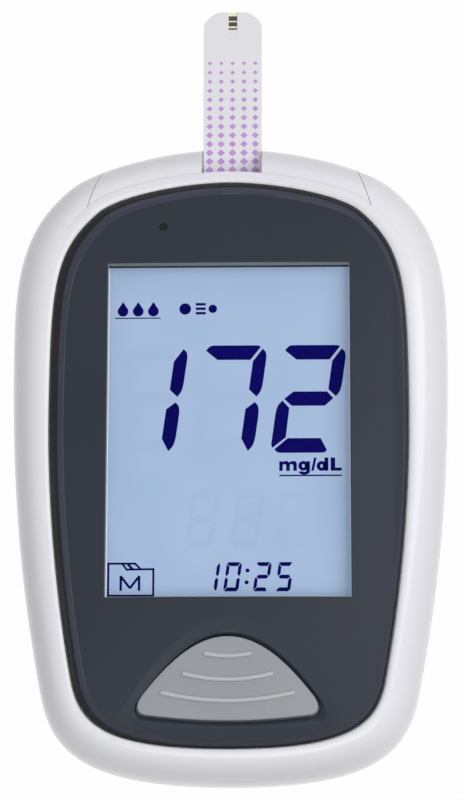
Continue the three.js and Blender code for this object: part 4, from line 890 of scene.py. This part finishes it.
def make_strip():
    base = prism(strip_plan(STRIP_LOW[1]), STRIP_LOW[2], STRIP_HIGH[2])
    dress(as_object("strip_base_film", base), "strip_white", ["strip_base"], "test_strip")
    cover = as_object("strip_cover_film", loft([
        raised(strip_plan(COVER_LOW[1]), COVER_LOW[2]),
        raised(strip_plan(COVER_LOW[1]), COVER_HIGH[2] - FILM_EDGE),
        raised(strip_plan(COVER_LOW[1], FILM_EDGE), COVER_HIGH[2]),
    ]))
    cut(cover, upright(STRIP_MIDDLE, STRIP_HIGH[1], NOTCH_WIDTH / 2, NOTCH_LENGTH,
                           COVER_LOW[2] - OVERRUN, COVER_HIGH[2] + OVERRUN))
    dress(cover, "strip_film", ["strip_cover"], "test_strip")


# Geometry Nodes for what repeats or follows a path
def geometry_tree(name, inputs):
    return new_group(name, "Geometry", {**inputs, "Material": ["Finish"]},
                     {"Geometry": ["Geometry"]})


def end_tree(tree, given, result, geometry):
    """Realizes the geometry, gives it its finish and ends the tree."""
    whole = new_node(tree, "GeometryNodeRealizeInstances", {0: geometry})
    feed(result, {"Geometry": new_node(tree, "GeometryNodeSetMaterial", {
        "Geometry": whole, "Material": given["Finish"],
    })})
    return tree


def grown(name, tree, values, look, places=((0, 0, 0),)):
    """A mesh grown by a tree from its own points, in millimetres, with inputs set by name."""
    made = as_object(name, (np.array(places, float), []))
    modifier = made.modifiers.new("grown", "NODES")
    modifier.node_group = tree
    values = {**values, "Finish": LOOKS[look]}
    for item in tree.interface.items_tree:
        if item.in_out == "INPUT" and item.name in values:
            modifier[item.identifier] = values[item.name]
    return settle(made)


def make_ridge_tree():
    """A raised ridge with domed ends along a curve of three points."""
    tree, given, result = geometry_tree("ridge", {
        "Vector": ["Start", "Middle", "End"], "Float": ["Width", "Height"], "Int": ["Points"],
    })
    line = new_node(tree, "GeometryNodeCurveQuadraticBezier", {
        "Start": given["Start"], "Middle": given["Middle"], "End": given["End"],
        "Resolution": 64,
    })
    even = new_node(tree, "GeometryNodeResampleCurve", {"Curve": line, "Count": given["Points"]})
    along = new_node(tree, "GeometryNodeSplineParameter").outputs["Length"]
    length = new_node(tree, "GeometryNodeSplineLength").outputs["Length"]
    half = calculate("MULTIPLY", given["Width"], 0.5)
    from_end = calculate("MINIMUM", along, calculate("SUBTRACT", length, along))
    share = calculate("SUBTRACT", 1.0, calculate("DIVIDE", from_end, half, clamp=True))
    round_end = calculate(
        "SQRT", calculate("SUBTRACT", RIDGE_END, calculate("MULTIPLY", share, share)),
    )
    ring = new_node(tree, "GeometryNodeCurvePrimitiveCircle", {"Resolution": 16, "Radius": 1.0})
    flat = new_node(tree, "GeometryNodeTransform", {
        "Geometry": ring,
        "Scale": new_node(tree, "ShaderNodeCombineXYZ", {"X": half, "Y": given["Height"]}),
    })
    return end_tree(tree, given, result, new_node(tree, "GeometryNodeCurveToMesh", {
        "Curve": even, "Profile Curve": flat, "Scale": round_end, "Fill Caps": True,
    }))


def make_diamond_tree():
    """Rows of diamonds from the first one towards -Y, each row a little closer and larger."""
    tree, given, result = geometry_tree("diamond_rows", {
        "Int": ["Columns", "Rows"],
        "Float": ["Column Pitch", "Row Pitch", "Pitch Loss", "Half Size", "Growth", "Thickness"],
    })
    columns = given["Columns"]
    index = new_node(tree, "GeometryNodeInputIndex")
    row = calculate("FLOOR", calculate("DIVIDE", index, columns))
    column = calculate("SUBTRACT", index, calculate("MULTIPLY", row, columns))
    first = calculate("MULTIPLY", calculate("SUBTRACT", columns, 1.0), 0.5)
    lost = calculate(
        "MULTIPLY", calculate("MULTIPLY", row, calculate("SUBTRACT", row, 1.0)),
        calculate("MULTIPLY", given["Pitch Loss"], 0.5),
    )
    size = calculate("MULTIPLY_ADD", row, given["Growth"], given["Half Size"])
    points = new_node(tree, "GeometryNodePoints", {
        "Count": calculate("MULTIPLY", columns, given["Rows"]),
        "Position": new_node(tree, "ShaderNodeCombineXYZ", {
            "X": calculate("MULTIPLY", calculate("SUBTRACT", column, first),
                           given["Column Pitch"]),
            "Y": calculate("SUBTRACT", lost, calculate("MULTIPLY", row, given["Row Pitch"])),
        }),
    })
    return end_tree(tree, given, result, new_node(tree, "GeometryNodeInstanceOnPoints", {
        "Points": points,
        "Instance": new_node(tree, "GeometryNodeMeshCylinder", {
            "Vertices": 4, "Radius": 1.0, "Depth": given["Thickness"],
        }),
        "Scale": new_node(tree, "ShaderNodeCombineXYZ", {
            "X": size, "Y": calculate("MULTIPLY", size, 0.95), "Z": 1.0,
        }),
    }))


def make_copies_tree():
    """A copy of one piece at each point of the modifier's own mesh."""
    tree, given, result = geometry_tree("copies", {"Geometry": ["Places"], "Object": ["Piece"]})
    piece = new_node(tree, "GeometryNodeObjectInfo", {"Object": given["Piece"]})
    return end_tree(tree, given, result, new_node(tree, "GeometryNodeInstanceOnPoints", {
        "Points": given["Places"], "Instance": piece.outputs["Geometry"],
    }))


def make_coil_tree():
    """A round wire coil from a wide first turn to a narrow last one, along +Z."""
    tree, given, result = geometry_tree("coil", {
        "Float": ["Turns", "First Radius", "Last Radius", "Height", "Wire Radius"],
    })
    spiral = new_node(tree, "GeometryNodeCurveSpiral", {
        "Resolution": 32, "Rotations": given["Turns"], "Start Radius": given["First Radius"],
        "End Radius": given["Last Radius"], "Height": given["Height"],
    })
    ring = new_node(tree, "GeometryNodeCurvePrimitiveCircle", {
        "Resolution": 10, "Radius": given["Wire Radius"],
    })
    return end_tree(tree, given, result, new_node(tree, "GeometryNodeCurveToMesh", {
        "Curve": spiral, "Profile Curve": ring, "Fill Caps": True,
    }))


RIDGE_TREE = make_ridge_tree()
DIAMOND_TREE = make_diamond_tree()
COPIES_TREE = make_copies_tree()
COIL_TREE = make_coil_tree()


def copies_of(name, piece, places, look):
    """The piece, made round the origin, at each place."""
    made = grown(name, COPIES_TREE, {"Piece": piece}, look, places)
    bpy.data.objects.remove(piece)
    return made


def make_button_ridges():
    for k, (half_share, place_share, sag_share) in enumerate(BUTTON_RIDGES, start=1):
        half = half_share * BUTTON_WIDTH / 2
        sag = sag_share * BUTTON_LENGTH / 2
        y = BUTTON_Y + place_share * BUTTON_LENGTH / 2
        start, middle, end = domed([(-half, y), (0, y - sag), (half, y)], BUTTON_TOP)
        middle = 2 * middle - (start + end) / 2
        # Each ridge is in the lighter grey of a painted highlight.
        ridge = grown(f"button_ridge_{k}", RIDGE_TREE, {
            "Start": tuple(start * MM), "Middle": tuple(middle * MM), "End": tuple(end * MM),
            "Width": RIDGE_WIDTH * MM, "Height": RIDGE_HEIGHT * MM, "Points": RIDGE_POINTS,
        }, "button_ridge_painted_highlight")
        dress(ridge, "button_ridge_painted_highlight", body="main_button")


# Display artwork. Corners are (x, y), or (x, y, radius) where they are round, and those of the
# segments start from a digit's lower left.
SEGMENTS = {
    "a": [(0.13, 14.67), (1.9, 13.34), (6.56, 13.34), (7.76, 15.19), (7.5, 15.42, 0.5),
          (0.6, 15.42, 0.7)],
    "b": [(8.07, 14.94), (6.94, 13.14), (6.94, 9.08), (8.14, 8.05), (8.77, 9.0, 1.3),
          (8.77, 14.3, 1.0)],
    "c": [(8.02, 7.27), (6.83, 6.27), (6.83, 2.06), (8.0, 0.28), (8.77, 1.3, 1.4),
          (8.77, 6.5, 1.3)],
    "d": [(7.91, 0.35), (6.77, 2.08), (2.18, 2.08), (0.54, 0.5), (1.0, 0, 0.6), (7.6, 0, 0.5)],
    "e": [(0.72, 7.45), (0, 6.6, 1.4), (0, 1.05, 0.5), (0.24, 0.73), (1.9, 2.18), (1.83, 6.39)],
    "f": [(0.72, 8.1), (1.83, 9.13), (1.83, 13.0), (0.06, 14.35), (0, 14.2, 0.3), (0, 8.8, 1.3)],
    "g": [(0.94, 7.7), (2.12, 6.71), (6.77, 6.71), (7.81, 7.78), (6.81, 8.74), (2.1, 8.74)],
}
DIGITS = {"0": "abcdef", "1": "bc", "2": "abdeg", "5": "acdfg", "7": "abc"}
DIGIT_SIZE = np.array([8.77, 15.42])
DIGIT_PITCH = 11.13
DIGIT_SLANT = 0.137
READING = "172"
READING_CORNER = (-16.49, -10.1)
CLOCK_SIZE = np.array([2.1, 4.07])
CLOCK_DIGITS = {"1": -3.74, "0": -0.75, "2": 3.37, "5": 6.43}
CLOCK_BASE = -29.58
CLOCK_DOTS = [(2.52, -28.32), (2.64, -26.67)]
CLOCK_DOT = 0.28
SPARE_SIZE = np.array([4.0, 8.1])
SPARE_CORNERS = [(-6.2, -23.5), (0.1, -23.5), (6.2, -23.5)]
DROPS_X, DROPS_LINE = (-15.0, -12.85, -10.7), (-16.12, -9.66, 9.27, 9.42)
DROP_BASE, DROP_HEIGHT, DROP_BELLY = 9.6, 2.1, 0.36
SIGN_BARS_X, SIGN_BARS_Y, SIGN_BAR = (-4.7, -3.3), (9.85, 10.5, 11.15), 0.35
SIGN_DISCS = [(-6.2, 10.65, 0.82, 40), (-2.3, 10.65, 0.6, 32)]
# Strokes of the folder sign, from one end to the other, and of what is on it
FOLDER_LINES = [
    (-16.67, -30.15, -10.41, -30.15), (-16.67, -30.29, -16.67, -25.53),
    (-10.41, -30.29, -10.41, -26.31), (-16.67, -25.67, -12.95, -25.67),
    (-13.0, -25.62, -12.18, -26.45), (-14.05, -26.5, -10.41, -26.45),
    (-14.75, -25.67, -14.05, -26.6),
]
FOLDER_MARKS = [
    (-13.95, -25.77, -13.25, -26.5), (-14.92, -27.4, -14.92, -29.47),
    (-12.38, -27.4, -12.38, -29.47), (-14.95, -27.42, -13.65, -29.1),
    (-12.35, -27.42, -13.65, -29.1),
]
FOLDER_LINE, FOLDER_MARK = 0.28, 0.34
# Left and right end of the unit, its baseline, its underline, and the corners of its m
UNIT_X, UNIT_END, UNIT_BASE = 7.06, 15.77, -12.66
UNIT_LINE = (-13.42, -13.22)
LETTER_M = [
    (0, 0), (0.48, 0), (0.48, 0.95, 0.3), (0.97, 0.95, 0.3), (0.97, 0), (1.47, 0),
    (1.47, 0.95, 0.3), (1.96, 0.95, 0.3), (1.96, 0), (2.45, 0), (2.45, 1.38, 0.5),
    (1.66, 1.38, 0.3), (1.38, 1.16, 0.06), (1.2, 1.38, 0.3), (0.66, 1.38, 0.2), (0.46, 1.2),
    (0.46, 1.35), (0, 1.35),
]
LCD_EDGE_LINE, LCD_EDGE_OUT = 0.08, 0.3
# A dark strip along the top of the display: painted shadow under the opening's upper wall.
SHADOW_STRIP_OUT, SHADOW_STRIP_WIDTH, SHADOW_STRIP_ROUNDING = 0.4, 1.0, 0.04
SHADOW_STRIP_BOTTOM, SHADOW_STRIP_TOP = SEAT + 0.05, WINDOW_LOW[2] - 0.02
INK_BOTTOM, INK_TOP, GHOST_TOP = SEAT + 0.01, SEAT + 0.03, SEAT + 0.015


def filleted(corners):
    """A plan from corners, of which those with a radius become round."""
    plan = [np.array(corner[:2], float) for corner in corners]
    points = []
    for k, corner in enumerate(corners):
        around = plan[k - 1], plan[k], plan[(k + 1) % len(plan)]
        points += corner_curve(*around, corner[2], 8) if corner[2:] else [plan[k]]
    return np.array(points)


def digit_plans(segments, size, corner):
    """Plans of the named segments of a slanted digit of that size at that lower left corner."""
    plans = []
    for name in segments:
        plan = filleted(SEGMENTS[name]) * (size / DIGIT_SIZE)
        plans.append(plan + np.outer(plan[:, 1], (DIGIT_SLANT, 0)) + corner)
    return plans


def ccw(plan):
    x, y = np.array(plan, float).T
    return plan if np.sum(x * np.roll(y, -1) - np.roll(x, -1) * y) > 0 else plan[::-1]


def printed(name, plans, look="lcd_segment", top=INK_TOP):
    solid = together([prism(ccw(plan), INK_BOTTOM, top) for plan in plans])
    dress(as_object(name, solid), look, smooth=False)


def bars(strokes, width):
    """Plans of straight strokes, each from (x, y) to (x, y)."""
    plans = []
    for start, end in np.reshape(strokes, (-1, 2, 2)):
        along = (end - start) / np.linalg.norm(end - start)
        side = np.array([-along[1], along[0]]) * width / 2
        plans.append(np.array([start - side, end - side, end + side, start + side]))
    return plans


def drop_plan(x):
    """A drop: a round belly under a pointed top."""
    radius = DROP_BELLY * DROP_HEIGHT
    turn = np.radians(np.linspace(160, 380, 40))
    belly = np.column_stack([x + radius * np.cos(turn), DROP_BASE + radius * (1 + np.sin(turn))])
    return np.concatenate([belly, [(x, DROP_BASE + DROP_HEIGHT)]])


def make_display_art():
    reading, resting, clock = [], [], []
    for place, digit in enumerate(READING):
        corner = (READING_CORNER[0] + place * DIGIT_PITCH, READING_CORNER[1])
        unlit = [name for name in SEGMENTS if name not in DIGITS[digit]]
        reading += digit_plans(DIGITS[digit], DIGIT_SIZE, corner)
        resting += digit_plans(unlit, DIGIT_SIZE, corner)
    for digit, x in CLOCK_DIGITS.items():
        clock += digit_plans(DIGITS[digit], CLOCK_SIZE, (x, CLOCK_BASE))
    clock += [circle(x, y, CLOCK_DOT, 24) for x, y in CLOCK_DOTS]
    for corner in SPARE_CORNERS:
        resting += digit_plans(SEGMENTS, SPARE_SIZE, corner)
    large, small = (circle(*disc) for disc in SIGN_DISCS)
    signs = [rectangle(*SIGN_BARS_X, y, y + SIGN_BAR) for y in SIGN_BARS_Y]
    printed("lcd_reading", reading)
    printed("lcd_clock", clock)
    printed("lcd_resting_segments", resting, "lcd_ghost", GHOST_TOP)
    printed("lcd_drops", [*map(drop_plan, DROPS_X), rectangle(*DROPS_LINE)])
    printed("lcd_mode_signs", [large, *signs, small])
    printed("lcd_memory_folder", bars(FOLDER_LINES, FOLDER_LINE) + bars(FOLDER_MARKS, FOLDER_MARK))


def stroke(centre, outer, inner, start, end):
    """Plan of an arc between two ellipses round one centre, from one angle to another."""
    turn = np.radians(np.linspace(start, end, 24))
    ring = np.column_stack([np.cos(turn), np.sin(turn)])
    return np.concatenate([ring * outer, (ring * inner)[::-1]]) + centre


def bowl(centre, outer, inner):
    return [stroke(centre, outer, inner, start, start + 180) for start in (90, -90)]


def make_unit():
    """The unit of the reading, in plain heavy letters, underlined."""
    plans = [
        filleted(LETTER_M), *bowl((3.36, 0.7), (0.7, 0.68), (0.2, 0.26)),
        rectangle(3.76, 4.28, -0.05, 1.35),
        stroke((3.48, -0.05), (0.8, 0.5), (0.3, 0.1), 190, 360),
        [(4.45, -0.02), (4.8, -0.02), (5.2, 1.86), (4.85, 1.86)],
        *bowl((5.9, 0.67), (0.68, 0.7), (0.18, 0.27)), rectangle(6.3, 6.84, 0, 1.86),
        rectangle(7.17, 7.79, 0, 1.86), rectangle(7.79, 8.71, 0, 0.42),
    ]
    plans = [np.array(plan) + (UNIT_X, UNIT_BASE) for plan in plans]
    printed("lcd_unit", [*plans, rectangle(UNIT_X, UNIT_END, *UNIT_LINE)])


def make_painted_edge_highlights():
    """Thin bright strips that glow on the glass at the display's sides: painted highlights for the
    light at its edges.
    """
    half, line, out = VIEW_HIGH[0], LCD_EDGE_LINE, LCD_EDGE_OUT
    low, high = VIEW_LOW[1], VIEW_HIGH[1]
    printed("lcd_bright_edges", [
        rectangle(-half - out, -half + line, low - out, high),
        rectangle(half - line, half + out, low - out, high),
        rectangle(-half + line, half - line, low - out, low + line),
    ], "lcd_painted_edge_light")


def make_window_shadow_strip():
    """A dark strip along the upper edge of the display opening, under the window: painted shadow
    where the opening's upper wall shades the display.
    """
    plan = rectangle(VIEW_LOW[0] - SHADOW_STRIP_OUT, VIEW_HIGH[0] + SHADOW_STRIP_OUT, VIEW_HIGH[1],
                     VIEW_HIGH[1] + SHADOW_STRIP_WIDTH)
    strip = as_object("window_gasket", prism(plan, SHADOW_STRIP_BOTTOM, SHADOW_STRIP_TOP))
    dress(bevel(strip, SHADOW_STRIP_ROUNDING), "black_rubber")


def make_strip_print():
    tip = np.array([STRIP_MIDDLE, STRIP_HIGH[1], COVER_HIGH[2]])
    diamonds = grown("strip_diamonds", DIAMOND_TREE, DIAMONDS, "strip_purple")
    diamonds.data.transform(Matrix.Translation(Vector(tip + FIRST_DIAMONDS) * MM))
    dress(diamonds, "strip_purple", body="test_strip", smooth=False)
    for kind, spans, side, height in (
        ("cream", CREAM, 0, CREAM_HEIGHT), ("carbon", FILL_BARS, FILL_SIDE, CARBON_HEIGHT),
    ):
        half = NOTCH_WIDTH / 2 - side
        solid = together([prism(
            rectangle(STRIP_MIDDLE - half, STRIP_MIDDLE + half, tip[1] - far, tip[1] - near),
            STRIP_HIGH[2] - FILL_UNDER, STRIP_HIGH[2] + height,
        ) for near, far in spans])
        dress(as_object(f"strip_fill_{kind}", solid), f"strip_{kind}", body="test_strip",
              smooth=False)
    vent = as_object("strip_vent", lathe(VENT_PROFILE, offset=tip + VENT_PLACE))
    dress(vent, "strip_film", body="test_strip")


# Back of the meter: door, screws, set button, cells and their contacts
def make_battery_door():
    def plan(shrink):
        return rounded(DOOR_LOW[0] + shrink, DOOR_HIGH[0] - shrink, DOOR_LOW[1] + shrink,
                       DOOR_PANEL_END - shrink, DOOR_CORNER - shrink)

    def latch_slot(grow):
        return rectangle(x - LATCH_SLOT / 2 - grow, x + LATCH_SLOT / 2 + grow,
                         DOOR_LOW[1] - LATCH_LENGTH, DOOR_LOW[1] + LATCH_LENGTH + grow)

    rings = [raised(plan(inset), DOOR_BOTTOM + rise) for inset, rise in quarter(DOOR_EDGE, 5)]
    door = as_object("battery_door_moulding", loft([*rings, raised(plan(0), DOOR_TOP)]))
    for x in (-LATCH_WIDTH / 2, LATCH_WIDTH / 2):
        cut(door, eased_opening(latch_slot, DOOR_TOP + OVERRUN, DOOR_BOTTOM, LATCH_ROUNDING))
    hook_z = BAY_LOW[2] + GAP
    hook_top = hook_z + HOOK_THICKNESS
    for side in (-1, 1):
        x = side * (BAY_HIGH[0] - GAP - HOOK_WIDTH / 2)
        for part in (
            upright(x, DOOR_PANEL_END - (HOOK_WIDTH + GAP) / 2, HOOK_WIDTH / 2,
                        (HOOK_WIDTH - GAP) / 2, DOOR_TOP - GAP, hook_top),
            upright(x, DOOR_PANEL_END + (HOOK_REACH - HOOK_WIDTH) / 2, HOOK_WIDTH / 2,
                        (HOOK_REACH + HOOK_WIDTH) / 2, hook_z, hook_top),
        ):
            combine(door, "UNION", bevel(as_object("hook", part), HOOK_ROUNDING))
    dress(door, "shell_white", ["battery_door"], "battery_door")
    points, faces = lathe(GRIP_PROFILE, 16)
    points[:, 0] += np.sign(np.round(points[:, 0], 6)) * (LATCH_WIDTH / 4 - GRIP_PROFILE[-1][0])
    places = [(0, DOOR_LOW[1] + LATCH_SLOT + k * GRIP_PITCH, DOOR_BOTTOM) for k in (1, 2, 3)]
    grips = copies_of("door_grips", as_object("grip", (points, faces)), places, "shell_white")
    dress(grips, "shell_white", body="battery_door")


def make_screws():
    screw = as_object("screw", lathe(SCREW_PROFILE))
    cut(screw, *[upright(0, 0, *half, -OVERRUN, CROSS_DEPTH) for half in CROSS_ARMS])
    places = [(x, y, SCREW_LOW[2]) for x, y in SCREW_PLACES]
    dress(copies_of("case_screws", screw, places, "steel"), "steel", SCREWS)


def make_set_button():
    radius, flange, height = SET_CAP_RADIUS, SET_HIGH[0], SET_HIGH[2] - SET_LOW[2]
    neck = height - SET_FLANGE
    cap = lathe([
        (0.9, 0.0), (1.2, 0.06), (radius, 0.25), (radius, neck), (flange - 0.1, neck),
        (flange, neck + 0.1), (flange, height - 0.1), (flange - 0.1, height),
    ], offset=(SET_X, SET_Y, SET_LOW[2]))
    dress(as_object("set_button_cap", cap), "button_grey", ["set_button"], "set_button")


def make_cells():
    for k, side in enumerate((-1, 1), start=1):
        low, high = box(f"battery_{k}")
        x, y, z = (low + high) / 2
        length, radius = high[1] - low[1], (high[0] - low[0]) / 2
        turn = Matrix.Rotation(math.radians(90 * side), 4, "X")
        start = (x, y + side * length / 2, z)
        jacket = lathe([
            (radius - 0.7, 0.0), (radius - 0.35, 0.02), (radius - 0.1, 0.15), (radius, 0.5),
            (radius, length - 1.6), (radius - 0.1, length - 1.3), (radius - 0.4, length - 1.12),
            (radius - 0.9, length - 1.1),
        ], 96, turn, start)
        ends = lathe([
            (radius - 1.0, 0.0), (radius - 0.8, 0.1), (radius - 0.75, 0.5),
            (radius - 0.75, length - 1.25), (radius - 1.0, length - 1.05), (2.4, length - 1.0),
            (1.95, length - 0.9), (1.9, length - 0.25), (1.75, length - 0.05), (1.5, length),
        ], 64, turn, start)
        dress(as_object(f"cell_jacket_{k}", jacket), "cell_jacket", [f"battery_{k}"])
        dress(as_object(f"cell_ends_{k}", ends), "steel")


def make_springs():
    """Wire coils over the minus contacts' cones, from the contact to near the cell."""
    for node, x, cell, end in ((LINK, -CELL_X, "battery_1", 0), (MINUS, CELL_X, "battery_2", 1)):
        side = 2 * end - 1
        start = box(node)[end][1] - side * CONTACT_PLATE
        height = abs(box(cell)[end][1] - start) - SPRING_PLAY
        z = np.mean([corner[2] for corner in box(cell)])
        coil = grown(node.replace("contact", "spring"), COIL_TREE,
                     {**SPRING, "Height": height * MM}, "steel")
        coil.data.transform(
            Matrix.Translation(Vector((x, start - side * SPRING_GAP, z)) * MM)
            @ Matrix.Rotation(math.radians(90 * side), 4, "X")
        )
        dress(coil, "steel")


# Finishes of the CAD nodes that stay as they are
NODE_FINISHES = {
    "window_clear": "display_window", "lcd_glass": "lcd_glass",
    "diffuser_white": "lcd_backlight backlight_led_1 backlight_led_2",
    "black_plastic": "lcd_frame processor_chip analog_chip power_capacitor strip_port"
                     " main_switch_plunger set_switch_plunger sensor_chip",
    "black_rubber": "zebra_connector", "board_green": "circuit_board",
    "steel": f"clock_crystal main_switch set_switch {LINK} {PLUS} {MINUS}",
    "gold_contact": "port_contact_1 port_contact_2 port_contact_3 port_contact_4"
                    " sounder_contact_1 sounder_contact_2",
    "brass": "sounder_disc", "ceramic": "sounder_ceramic",
}


def finish_kept_nodes():
    for look, names in NODE_FINISHES.items():
        for name in names.split():
            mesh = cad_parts[name].data
            mesh.materials.clear()
            mesh.materials.append(LOOKS[look])


make_front_shell_and_cap()
make_rear_shell()
make_faceplate()
make_sensor_lens()
make_main_button()
make_button_ridges()
make_strip()
make_strip_print()
make_display_art()
make_unit()
make_window_shadow_strip()
make_painted_edge_highlights()
make_battery_door()
make_screws()
make_set_button()
make_cells()
make_springs()
finish_kept_nodes()


# Camera and lamps, in metres, and the floor, in millimetres
TARGET = Vector((0.5, -2.91, 22.0)) * MM
DISTANCE = 0.39
TILT, SWING, ROLL = (math.radians(angle) for angle in (12.0, 1.85, 0.12))
LENS = 125.7
AMBIENT = 0.31
FLOOR_HALF, FLOOR_DROP = 1500.0, 0.03
FLOOR_WHITE = 0.98
# Name, place, size and power of each softbox, all turned towards the meter
SOFTBOXES = [
    ("overhead", (0.12, -0.3, 0.78), (0.45, 0.45), 2.7),
    ("right", (0.46, 0.15, 0.65), (0.25, 0.7), 2.4),
    ("left", (-0.7, 0.0, 0.45), (0.25, 0.7), 0.35),
    ("top", (0.0, 0.7, 0.45), (0.7, 0.25), 0.6),
    ("bottom", (0.0, -0.7, 0.45), (0.7, 0.25), 0.1),
    ("below", (0.05, -0.1, -0.6), (0.5, 0.5), 1.6),
]


def place_camera():
    back = Vector((
        math.sin(SWING) * math.cos(TILT), -math.sin(TILT), math.cos(SWING) * math.cos(TILT),
    )).normalized()
    right = Vector((0, 1, 0)).cross(back).normalized()
    up = back.cross(right)
    right, up = (
        math.cos(ROLL) * right + math.sin(ROLL) * up, math.cos(ROLL) * up - math.sin(ROLL) * right,
    )
    data = bpy.data.cameras.new("camera")
    data.lens = LENS
    data.clip_start = 0.01
    camera = bpy.data.objects.new("camera", data)
    bpy.context.scene.collection.objects.link(camera)
    turned = Matrix((right, up, back)).transposed().to_4x4()
    camera.matrix_world = Matrix.Translation(TARGET + back * DISTANCE) @ turned
    bpy.context.scene.camera = camera


def add_softbox(name, place, size, power):
    data = bpy.data.lights.new(name, "AREA")
    data.shape = "RECTANGLE"
    data.size, data.size_y = size
    data.energy = power
    light = bpy.data.objects.new(name, data)
    light.location = place
    light.rotation_euler = (-Vector(place)).to_track_quat("-Z", "Y").to_euler()
    light.visible_camera = False
    bpy.context.scene.collection.objects.link(light)


def seen_directly(tree):
    """A mask of camera, glossy and transmission rays, which see the white studio."""
    rays = new_node(tree, "ShaderNodeLightPath").outputs
    first = calculate("MAXIMUM", rays["Is Camera Ray"], rays["Is Glossy Ray"])
    return calculate("MAXIMUM", first, rays["Is Transmission Ray"])


def light_world():
    world = bpy.data.worlds.new("studio")
    bpy.context.scene.world = world
    world.use_nodes = True
    tree = world.node_tree
    level = new_node(tree, "ShaderNodeMix", {0: seen_directly(tree), 2: AMBIENT, 3: 1.0})
    feed(tree.nodes["Background"], {"Color": (1, 1, 1, 1), "Strength": level})


def lay_floor():
    """A floor that keeps the shadow, looks white from above and hides nothing from below."""
    plan = rectangle(-FLOOR_HALF, FLOOR_HALF, -FLOOR_HALF, FLOOR_HALF)
    floor = as_object("floor", (raised(plan, -FLOOR_DROP), [(0, 1, 2, 3)]))
    look = bpy.data.materials.new("floor_pale")
    look.use_nodes = True
    tree = look.node_tree
    matt = tree.nodes["Principled BSDF"]
    feed(matt, {"Base Color": (0.6, 0.6, 0.6, 1), "Roughness": 0.9, "Specular IOR Level": 0.1})
    white = new_node(tree, "ShaderNodeEmission", {"Color": (1, 1, 1, 1), "Strength": 1.0})
    share = calculate("MULTIPLY", seen_directly(tree), FLOOR_WHITE)
    passed = calculate(
        "MAXIMUM", new_node(tree, "ShaderNodeNewGeometry").outputs["Backfacing"],
        new_node(tree, "ShaderNodeLightPath").outputs["Is Shadow Ray"],
    )
    feed(tree.nodes["Material Output"], {"Surface": new_node(tree, "ShaderNodeMixShader", {
        0: passed, 1: new_node(tree, "ShaderNodeMixShader", {0: share, 1: matt, 2: white}),
        2: new_node(tree, "ShaderNodeBsdfTransparent"),
    })})
    floor.data.materials.append(look)


place_camera()
for softbox in SOFTBOXES:
    add_softbox(*softbox)
light_world()
lay_floor()
bpy.context.scene.view_settings.view_transform = "Standard"
